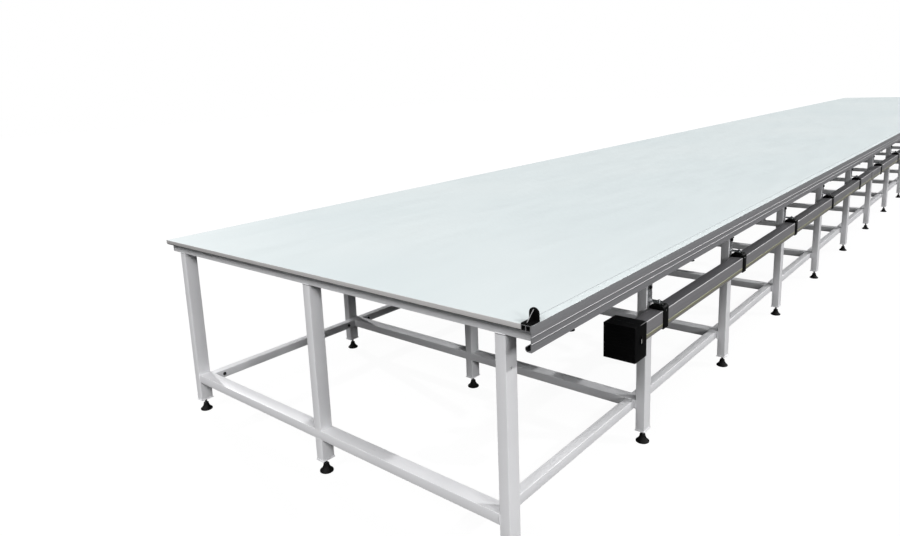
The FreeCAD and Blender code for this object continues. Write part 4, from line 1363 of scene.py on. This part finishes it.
@dataclass
class EndStops:
    """The moulded stops at both ends of the edge rail."""

    layout: Layout
    base_thick: float = 4 * MM
    length: float = 47 * MM
    height: float = 42 * MM
    plate_thick: float = 5 * MM
    web: float = 4 * MM
    inset: float = 1 * MM
    corner: float = 2 * MM
    base_ease: float = 0.8 * MM
    plate_ease: float = 1 * MM
    web_ease: float = 0.6 * MM
    root: float = 1 * MM
    crown_steps: int = 16
    # The strip of painted highlight along the web's sloping edge.
    highlight_proud: float = 0.15 * MM
    highlight_sunk: float = 0.45 * MM
    highlight_side: float = 0.7 * MM
    highlight_foot: float = 2 * MM
    highlight_crest: float = 1.5 * MM

    def build(self) -> None:
        """Makes both stops as one piece, the far one turned end for end."""
        low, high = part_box("end_stops")
        piece = Piece("rail_end_stops", "table")
        for turned in (False, True):
            meshes = [(mesh, MOULDED_BLACK) for mesh in self.meshes(low.x, high.x)]
            # The web's sloping edge gets a strip of painted highlight.
            meshes.append((self.highlight_edge(low.x, high.x), PAINTED_HIGHLIGHT_NYLON))
            for mesh, finish in meshes:
                moved(mesh, y=low.y)
                if turned:
                    mesh.transform(Matrix.Scale(-1, 4, Vector((0, 1, 0))))
                    cleaned(mesh)
                    moved(mesh, y=low.y + high.y)
                piece.add(mesh, finish)
        piece.done(["end_stops"], "plastic_black")

    def meshes(self, left: float, right: float) -> list[bpy.types.Mesh]:
        """Makes the base, the upright plate and the sloping web of one stop.

        Args:
            left: The side of the stop toward the boards.
            right: The side toward the fascia.

        Returns:
            Their meshes, from y = 0 along the rail.
        """
        top = self.layout.top
        base = plate([rectangle((left, 0), (right, self.length), self.corner)], top,
                     top + self.base_thick, Facing.ALONG_Z, self.base_ease)
        radius = (right - left) / 2 - self.inset
        middle = (left + right) / 2
        crown = arc(middle, top + self.height - radius, radius, 0, 180, self.crown_steps)
        outline = [Vector((middle - radius, top)), Vector((middle + radius, top)), *crown]
        back = self.length - self.plate_thick
        upright = plate([outline], back, self.length, Facing.ALONG_Y, self.plate_ease)
        floor = top + self.base_thick - self.root
        foot, crest = self.slope()
        slope = [Vector((self.web, floor)), Vector((back + self.root, floor)), crest, foot]
        web = plate([slope], middle - self.web / 2, middle + self.web / 2, Facing.ALONG_X, self.web_ease)
        return [base, upright, web]

    def slope(self) -> tuple[Vector, Vector]:
        """Finds the ends of the web's sloping edge.

        Returns:
            Its lower and its upper end, along and above the rail.
        """
        top = self.layout.top
        return (Vector((self.web, top + self.base_thick + self.root)),
                Vector((self.length - self.plate_thick + self.root, top + self.height - self.web)))

    def highlight_edge(self, left: float, right: float) -> bpy.types.Mesh:
        """Makes the pale line of painted highlight along the web's sloping edge.

        Args:
            left: The side of the stop toward the boards.
            right: The side toward the fascia.

        Returns:
            Its mesh, from y = 0 along the rail.
        """
        foot, crest = self.slope()
        along = (crest - foot).normalized()
        outward = Vector((-along.y, along.x))
        proud, sunk = outward * self.highlight_proud, outward * -self.highlight_sunk
        foot, crest = foot + along * self.highlight_foot, crest - along * self.highlight_crest
        line = [foot + sunk, crest + sunk, crest + proud, foot + proud]
        middle, half = (left + right) / 2, self.web / 2 - self.highlight_side
        return plate([line], middle - half, middle + half, Facing.ALONG_X)


@dataclass
class PowerRail:
    """The enclosed conductor rail with its brackets, studs, hangers, joint covers and end cap."""

    layout: Layout
    wall: float = 2 * MM
    lip: float = 20 * MM
    corner: float = 3 * MM
    ridge_height: float = 21 * MM
    ridge: float = 1.2 * MM
    hanger_thick: float = 3 * MM
    hanger_lip: float = 6 * MM
    hanger_length: float = 50 * MM
    hanger_ease: float = 0.8 * MM
    crown: float = 18 * MM
    crown_corner: float = 12 * MM
    screw_radius: float = 3 * MM
    screw_ease: float = 1 * MM
    screw_height: float = 1.8 * MM
    screw_reach: float = 4 * MM
    play: float = 0.3 * MM
    inner_corner: float = 0.8 * MM
    lip_corner: float = 0.6 * MM
    sleeve: float = 1.5 * MM
    sleeve_length: float = 120 * MM
    sleeve_corner: float = 3.5 * MM
    sleeve_ease: float = 0.3 * MM
    cap_corner: float = 4 * MM
    cap_ease: float = 1 * MM
    skirt_ease: float = 0.5 * MM
    stud_radius: float = 4 * MM
    stud_pitch: float = 1.6 * MM
    nut_corner: float = 7.5 * MM
    nut_height: float = 6.5 * MM
    strap_width: float = 36 * MM
    strap_corner: float = 6 * MM
    strap_ease: float = 0.4 * MM
    lap: float = 1 * MM
    bend: float = 3 * MM
    edge: float = 0.5 * MM
    hole_radius: float = 4.5 * MM

    def __post_init__(self) -> None:
        """Reads the housing's section."""
        low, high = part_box("conductor_housing_1")
        self.inner, self.outer, self.low, self.high = low.x, high.x, low.z, high.z
        self.finish = housing_finish(self.low, self.high, self.low + self.ridge_height)
        self.rows = RowTree()

    def build(self) -> None:
        """Makes every piece of the rail."""
        self.housing()
        self.hangers()
        self.brackets()
        self.studs()
        self.covers()
        for node, finish in (("conductor_strips", COPPER), ("conductor_carriers", CARRIER)):
            dress(node, finish)

    def at_frames(self, piece: Piece, mesh: bpy.types.Mesh, finish: Finish, x: float = 0.0) -> None:
        """Adds a mesh to a piece at every frame from the second one on.

        Args:
            piece: The piece.
            mesh: The mesh, about a frame's own middle.
            finish: Its finish.
            x: How far across the table it goes.
        """
        here = self.layout
        self.rows.fill(piece, mesh, finish, len(here.stations) - 1, Vector((x, here.stations[1], 0)),
                       Vector((0, here.bay, 0)))

    def housing(self) -> None:
        """Makes the lengths of the slotted housing."""
        left, right, low, high = self.inner, self.outer, self.low, self.high
        corner, wall, lip, ridge = self.corner, self.wall, self.lip, self.ridge
        outline = [Vector((right - lip, low)),
                   *arc(right - corner, low + corner, corner, 270, 360, 4),
                   *arc(right, low + self.ridge_height, ridge, -90, 90, 5),
                   *arc(right - corner, high - corner, corner, 0, 90, 4),
                   *arc(left + corner, high - corner, corner, 90, 180, 4),
                   *arc(left, low + self.ridge_height, ridge, 90, 270, 5),
                   *arc(left + corner, low + corner, corner, 180, 270, 4)]
        outline += [Vector(place) for place in (
            (left + lip, low), (left + lip, low + wall), (left + wall, low + wall),
            (left + wall, high - wall), (right - wall, high - wall), (right - wall, low + wall),
            (right - lip, low + wall))]
        for node in names("conductor_housing_"):
            low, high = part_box(node)
            mesh = plate([outline], low.y, high.y, Facing.ALONG_Y)
            Piece(f"power_rail_{node[-1]}", "table").add(mesh, self.finish).done([node], "housing_grey")

    def saddle(self, thick: float, crown: float, lip: float, corner: float) -> list[Vector]:
        """The outline of a cover over the housing.

        Args:
            thick: Thickness of its sides.
            crown: Thickness of its top.
            lip: Reach of the lips below the housing, or 0 for none.
            corner: Radius of its shoulders.

        Returns:
            The outline's points.
        """
        inner, outer = self.inner - self.play, self.outer + self.play
        top = self.high + self.play
        rim, tip = (self.inner_corner, self.lip_corner) if lip else (0, 0)
        low = self.low - self.play - thick if lip else self.low
        points = [(inner - thick, low, rim), (inner - thick, top + crown, corner),
                  (outer + thick, top + crown, corner), (outer + thick, low, rim)]
        if lip:
            points += [(outer - lip, low, tip), (outer - lip, low + thick, tip),
                       (outer, low + thick, 0)]
        else:
            points += [(outer, low, 0)]
        points += [(outer, top, self.inner_corner), (inner, top, self.inner_corner)]
        if lip:
            points += [(inner, low + thick, 0), (inner + lip, low + thick, tip),
                       (inner + lip, low, tip)]
        else:
            points += [(inner, low, 0)]
        return rounded(points)

    def screw(self, place: float, facing: Facing) -> bpy.types.Mesh:
        """Makes the head of a small screw.

        Args:
            place: Where the face that it stands on lies along its axis.
            facing: The way its axis runs.

        Returns:
            Its mesh.
        """
        radius, ease = self.screw_radius, self.screw_ease
        return lathe([(radius, place - ease), (radius, place + ease),
                      (radius - ease, place + self.screw_height)], count=12, facing=facing)

    def hangers(self) -> None:
        """Makes the black hangers, each with its two small screws."""
        half = self.hanger_length / 2
        outline = self.saddle(self.hanger_thick, self.crown, self.hanger_lip, self.crown_corner)
        body = plate([outline], -half, half, Facing.ALONG_Y, self.hanger_ease)
        top = self.high + self.play + self.crown
        side = self.outer + self.play + self.hanger_thick
        screws = joined([
            moved(self.screw(top, Facing.ALONG_Z), x=side - self.crown_corner - self.screw_reach),
            moved(self.screw(side, Facing.ALONG_X), z=self.high - self.screw_reach)])
        piece = Piece("rail_hangers", "table")
        self.at_frames(piece, body, MOULDED_BLACK)
        self.at_frames(piece, screws, ZINC)
        piece.done(["hangers"], "plastic_black")

    def brackets(self) -> None:
        """Makes the bent zinc brackets with their row of holes."""
        here = self.layout
        low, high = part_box("rail_brackets")
        thick, left, right, arm = here.strap_thick, low.x, high.x, here.arm_low
        knee = arm + thick + 2 * self.bend
        bent = rounded([(left, arm, self.bend + thick), (right, arm, self.edge),
                        (right, arm + thick, self.edge), (left + thick, arm + thick, self.bend),
                        (left + thick, knee, 0), (left, knee, 0)])
        half = self.strap_width / 2
        foot = plate([bent], -half, half, Facing.ALONG_Y, self.strap_ease)
        outline = rounded([(-half, knee - self.lap, 0), (half, knee - self.lap, 0),
                           (half, here.strap_top, self.strap_corner),
                           (-half, here.strap_top, self.strap_corner)])
        holes = [circle(0, height, self.hole_radius) for height in here.hole_heights]
        strap = plate([outline, *holes], left, left + thick, Facing.ALONG_X, self.strap_ease)
        piece = Piece("zinc_brackets", "table")
        self.at_frames(piece, joined([foot, strap]), ZINC)
        piece.done(["rail_brackets"], "zinc_steel")

    def studs(self) -> None:
        """Makes the hangers' threaded studs and their nuts."""
        low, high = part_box("hanger_studs")
        radius, pitch, thread = self.stud_radius, self.stud_pitch, ThreadTree()
        core = thread.core(radius, pitch)
        under = self.layout.arm_low
        above = under + self.layout.strap_thick
        mesh = joined([
            lathe([(core, low.z), (core, high.z)], count=10),
            thread.run(radius, pitch, above + self.nut_height - self.lap, high.z - pitch / 2, ZINC),
            hexagon(self.nut_corner, above, above + self.nut_height),
            hexagon(self.nut_corner, under - self.nut_height, under)])
        piece = Piece("hanger_studs_and_nuts", "table")
        self.at_frames(piece, mesh, ZINC, (self.inner + self.outer) / 2)
        piece.done(["hanger_studs"], "zinc_steel")

    def covers(self) -> None:
        """Makes the sleeves over the housing's joints and the cap on its far end."""
        low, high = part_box("joint_covers")
        sleeve = plate([self.saddle(self.sleeve, self.sleeve, 0, self.sleeve_corner)], 0,
                       self.sleeve_length, Facing.ALONG_Y, self.sleeve_ease)
        piece = Piece("joint_sleeves", "table")
        step = Vector((0, high.y - self.sleeve_length - low.y, 0))
        self.rows.fill(piece, sleeve, self.finish, RAIL_COUNT - 1, Vector((0, low.y, 0)), step)
        piece.done(["joint_covers"], "housing_grey")
        low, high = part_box("housing_end_cap")
        thick = self.hanger_thick
        skirt = plate([self.saddle(thick, thick, 0, self.cap_corner)], low.y,
                      high.y - thick + self.skirt_ease, Facing.ALONG_Y, self.skirt_ease)
        face = plate([rectangle((low.x, low.z), (high.x, high.z), self.cap_corner)], high.y - thick,
                     high.y, Facing.ALONG_Y, self.cap_ease)
        piece = Piece("rail_end_cap", "table")
        piece.add(skirt, MOULDED_BLACK).add(face, MOULDED_BLACK)
        piece.done(["housing_end_cap"], "plastic_black")


@dataclass
class FeedBox:
    """The feed box on the power rail's near end: body, hinged cover, latch, gland and terminals."""

    barrel_radius: float = 3 * MM
    barrel_ease: float = 0.4 * MM
    pin_radius: float = 1.5 * MM
    ear: float = 4.5 * MM
    flap_thick: float = 3 * MM
    flap_corner: float = 2 * MM
    flap_ease: float = 0.6 * MM
    insert_width: float = 6 * MM
    insert_height: float = 18 * MM
    insert_proud: float = 0.6 * MM
    insert_sunk: float = 1 * MM
    insert_corner: float = 1.5 * MM
    insert_ease: float = 0.3 * MM
    # The band of painted highlight under the body's top.
    highlight_low: float = 1.6 * MM
    highlight_high: float = 0.1 * MM
    ease: float = 0.8 * MM
    merge: float = 0.01 * MM
    sharp_angle: float = 40.0

    def build(self) -> None:
        """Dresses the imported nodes, whose shapes are already right, and makes the latch."""
        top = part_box("feed_box_body")[1].z
        # The body's top outer edge gets a painted highlight: a pale band just under its top.
        painted_highlight = replace(MOULDED_BLACK, name="rubbed_black_nylon", zones=(
            Zone(top - self.highlight_low, top - self.highlight_high, "#C9C9CA", 0.9),))
        for node, finish in (("feed_box_body", painted_highlight), ("feed_box_cover", MOULDED_BLACK),
                             ("cable_gland", MOULDED_BLACK)):
            dress(node, finish)
            self.round_edges(node)
        self.latch()
        dress("terminal_block", TERMINAL_BEIGE)

    def latch(self) -> None:
        """Makes the black latch with its pin and the pale insert in its flap, whose pale colour is a
        painted highlight.
        """
        low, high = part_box("feed_box_latch")
        barrel, pin = self.barrel_radius, self.pin_radius
        x, y = high.x - barrel, high.y - barrel
        flap_low, flap_high = low.z + self.ear, high.z - self.ear
        outside = low.x + self.flap_thick
        flap = plate([rectangle((low.y, flap_low), (y, flap_high), self.flap_corner)], low.x, outside,
                     Facing.ALONG_X, self.flap_ease)
        centre = Vector(((low.y + y) / 2, (flap_low + flap_high) / 2))
        reach = Vector((self.insert_width, self.insert_height)) / 2
        # The insert's pale colour is a painted highlight.
        tab = plate([rectangle(centre - reach, centre + reach, self.insert_corner)],
                    outside - self.insert_sunk, outside + self.insert_proud, Facing.ALONG_X,
                    self.insert_ease)
        rim = barrel - self.barrel_ease
        roll = lathe([(rim, flap_low), (barrel, flap_low + self.barrel_ease),
                      (barrel, flap_high - self.barrel_ease), (rim, flap_high)], count=20)
        rod = lathe([(pin, low.z), (pin, high.z)], count=16)
        piece = Piece("box_latch", "feed_box_latch")
        piece.add(flap, MOULDED_BLACK).add(tab, LATCH_HIGHLIGHT)
        piece.add(moved(roll, x, y), MOULDED_BLACK).add(moved(rod, x, y), ZINC)
        piece.done(["feed_box_latch"], "latch_white")

    def round_edges(self, node: str) -> None:
        """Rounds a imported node's edges with modifiers.

        Args:
            node: The node's name.
        """
        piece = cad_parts[node]
        weld = piece.modifiers.new("merge", "WELD")
        weld.merge_threshold = self.merge
        bevel = piece.modifiers.new("edges", "BEVEL")
        bevel.width, bevel.segments, bevel.limit_method = self.ease, 2, "ANGLE"
        bevel.angle_limit = math.radians(self.sharp_angle)


class TopScrews:
    """The pan-headed screws under the beams."""

    def build(self) -> None:
        """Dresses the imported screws."""
        dress("top_screws", ZINC)


# Studio and camera

@dataclass(frozen=True)
class Lamp:
    """A far lamp, narrow as a row of lights under a workshop's roof or wide as a soft box.

    Attributes:
        name: The lamp's name.
        strength: Its strength.
        spread: Its width, in degrees.
        heading: Its direction from the table, in degrees from +X toward +Y.
        elevation: Its height, in degrees above the floor.
    """

    name: str
    strength: float
    spread: float
    heading: float
    elevation: float

    def build(self) -> None:
        """Adds the lamp."""
        data = bpy.data.lights.new(self.name, "SUN")
        data.energy, data.angle = self.strength, math.radians(self.spread)
        lamp = bpy.data.objects.new(self.name, data)
        heading, elevation = math.radians(self.heading), math.radians(self.elevation)
        toward = Vector((math.cos(elevation) * math.cos(heading),
                         math.cos(elevation) * math.sin(heading), math.sin(elevation)))
        lamp.rotation_euler = toward.to_track_quat("Z", "Y").to_euler()
        bpy.context.scene.collection.objects.link(lamp)


@dataclass
class Studio:
    """A floor that shows nearly white, a white surround and the lamps.

    Attributes:
        floor_colour: The floor's colour, which is dim so that it throws little light back.
        floor_lift: How much light the camera sees it give, so that it shows nearly white.
        horizon: Strength of the surround's light from level with the table.
        zenith: Strength of its light from above.
        reach: Length of the floor's sides, in metres.
        lamps: The lamps.
    """

    floor_colour: str = "#4A4A4A"
    floor_lift: float = 0.95
    horizon: float = 0.02
    zenith: float = 0.03
    reach: float = 60.0
    lamps: tuple[Lamp, ...] = (
        Lamp("right_row", 1.5, 1.2, 30, 37.4),
        Lamp("right_side", 1.15, 12, -20, 21),
        Lamp("left_row", 1.7, 1.2, 166, 34.6),
        Lamp("near_end", 1.97, 34, -88, 42),
        Lamp("near_right", 0.4, 20, -45, 50),
        Lamp("far_end", 0.6, 24, 74, 20))

    def build(self) -> None:
        """Makes the floor, the surround and the lamps."""
        self.floor()
        self.world()
        for lamp in self.lamps:
            lamp.build()

    def floor(self) -> None:
        """Makes the floor, which shows nearly white and keeps the table's shadow."""
        bpy.ops.mesh.primitive_plane_add(size=self.reach)
        floor = bpy.context.object
        floor.name = "studio_floor"
        material = bpy.data.materials.new("studio_floor_paint")
        material.use_nodes = True
        tree = material.node_tree
        tree.nodes.clear()
        matt = add(tree, "ShaderNodeBsdfDiffuse", {"Color": linear(self.floor_colour)})
        seen = add(tree, "ShaderNodeLightPath").outputs["Is Camera Ray"]
        lift = add(tree, "ShaderNodeMath", {0: seen, 1: self.floor_lift}, operation="MULTIPLY")
        glow = add(tree, "ShaderNodeEmission", {"Strength": lift.outputs[0]})
        both = add(tree, "ShaderNodeAddShader", {0: matt.outputs[0], 1: glow.outputs[0]})
        add(tree, "ShaderNodeOutputMaterial", {"Surface": both.outputs[0]})
        floor.data.materials.append(material)

    def world(self) -> None:
        """Lights the scene softly from all round, and shows white behind the table."""
        world = bpy.data.worlds.new("studio_surround")
        bpy.context.scene.world = world
        world.use_nodes = True
        tree = world.node_tree
        tree.nodes.clear()
        seen = add(tree, "ShaderNodeLightPath").outputs["Is Camera Ray"]
        direction = add(tree, "ShaderNodeTexCoord").outputs["Generated"]
        height = add(tree, "ShaderNodeSeparateXYZ", {"Vector": direction}).outputs["Z"]
        soft = add(tree, "ShaderNodeMapRange", {"Value": height, "To Min": self.horizon,
                                                "To Max": self.zenith})
        level = add(tree, "ShaderNodeMapRange", {"Value": seen, "To Min": soft.outputs[0],
                                                 "To Max": 1.0})
        sky = add(tree, "ShaderNodeBackground", {"Color": (1, 1, 1, 1), "Strength": level.outputs[0]})
        add(tree, "ShaderNodeOutputWorld", {"Surface": sky.outputs[0]})


@dataclass
class Camera:
    """The photograph's viewpoint, found by fitting the table's own edges.

    Attributes:
        layout: Where the table's parts are.
        focal_px: Focal length, in pixels of the photograph.
        image_width: The photograph's width, in pixels.
        image_height: Its height.
        centre_px: The pixel that the lens points at.
        from_leg: The way from the near leg under the rails, across and along, in metres.
        above_top: Height above the work surface, in metres.
        pitch: How far the camera looks up, in degrees.
        roll: How far it leans, in degrees.
        heading: How far it looks to the left of the table's length, in degrees.
        sensor: Width of its sensor, in millimetres.
        far: How far it sees, in metres.
    """

    layout: Layout
    focal_px: float = 685.0
    image_width: float = 900.0
    image_height: float = 536.0
    centre_px: tuple[float, float] = (443.0, 218.7)
    from_leg: tuple[float, float] = (1.1781, -1.6157)
    above_top: float = 0.699
    pitch: float = -11.37
    roll: float = 2.433
    heading: float = 41.176
    sensor: float = 36.0
    far: float = 200.0

    def build(self) -> None:
        """Makes the camera and puts it to use."""
        data = bpy.data.cameras.new("photograph")
        data.sensor_width = self.sensor
        data.lens = self.focal_px * self.sensor / self.image_width
        data.shift_x = (self.image_width / 2 - self.centre_px[0]) / self.image_width
        data.shift_y = (self.centre_px[1] - self.image_height / 2) / self.image_width
        data.clip_end = self.far
        camera = bpy.data.objects.new("photograph", data)
        aside, ahead = self.from_leg
        place = Vector((self.layout.rows[2] + aside, self.layout.stations[0] + ahead,
                        self.layout.top + self.above_top))
        turn = (Matrix.Rotation(math.radians(self.heading), 3, "Z")
                @ Matrix.Rotation(math.radians(self.pitch), 3, "X")
                @ Matrix.Rotation(math.radians(self.roll), 3, "Y"))
        ahead_to_down = Matrix.Rotation(math.pi / 2, 3, "X")
        camera.matrix_world = Matrix.LocRotScale(place, (turn @ ahead_to_down).to_quaternion(), None)
        bpy.context.scene.collection.objects.link(camera)
        bpy.context.scene.camera = camera


def main() -> None:
    """Builds the sub-assemblies, the studio and the camera, and keeps the sizes."""
    bpy.context.scene.view_settings.view_transform = "Standard"
    layout = Layout()
    for assembly in (WeldedFrames(layout), LevellingFeet(layout), SideStretchers(layout),
                     Worktop(layout), EdgeRail(layout), EndStops(layout), PowerRail(layout),
                     FeedBox(), TopScrews(), Studio(), Camera(layout)):
        assembly.build()
        log.info("%s built", type(assembly).__name__)


if __name__ == "__main__":
    main()
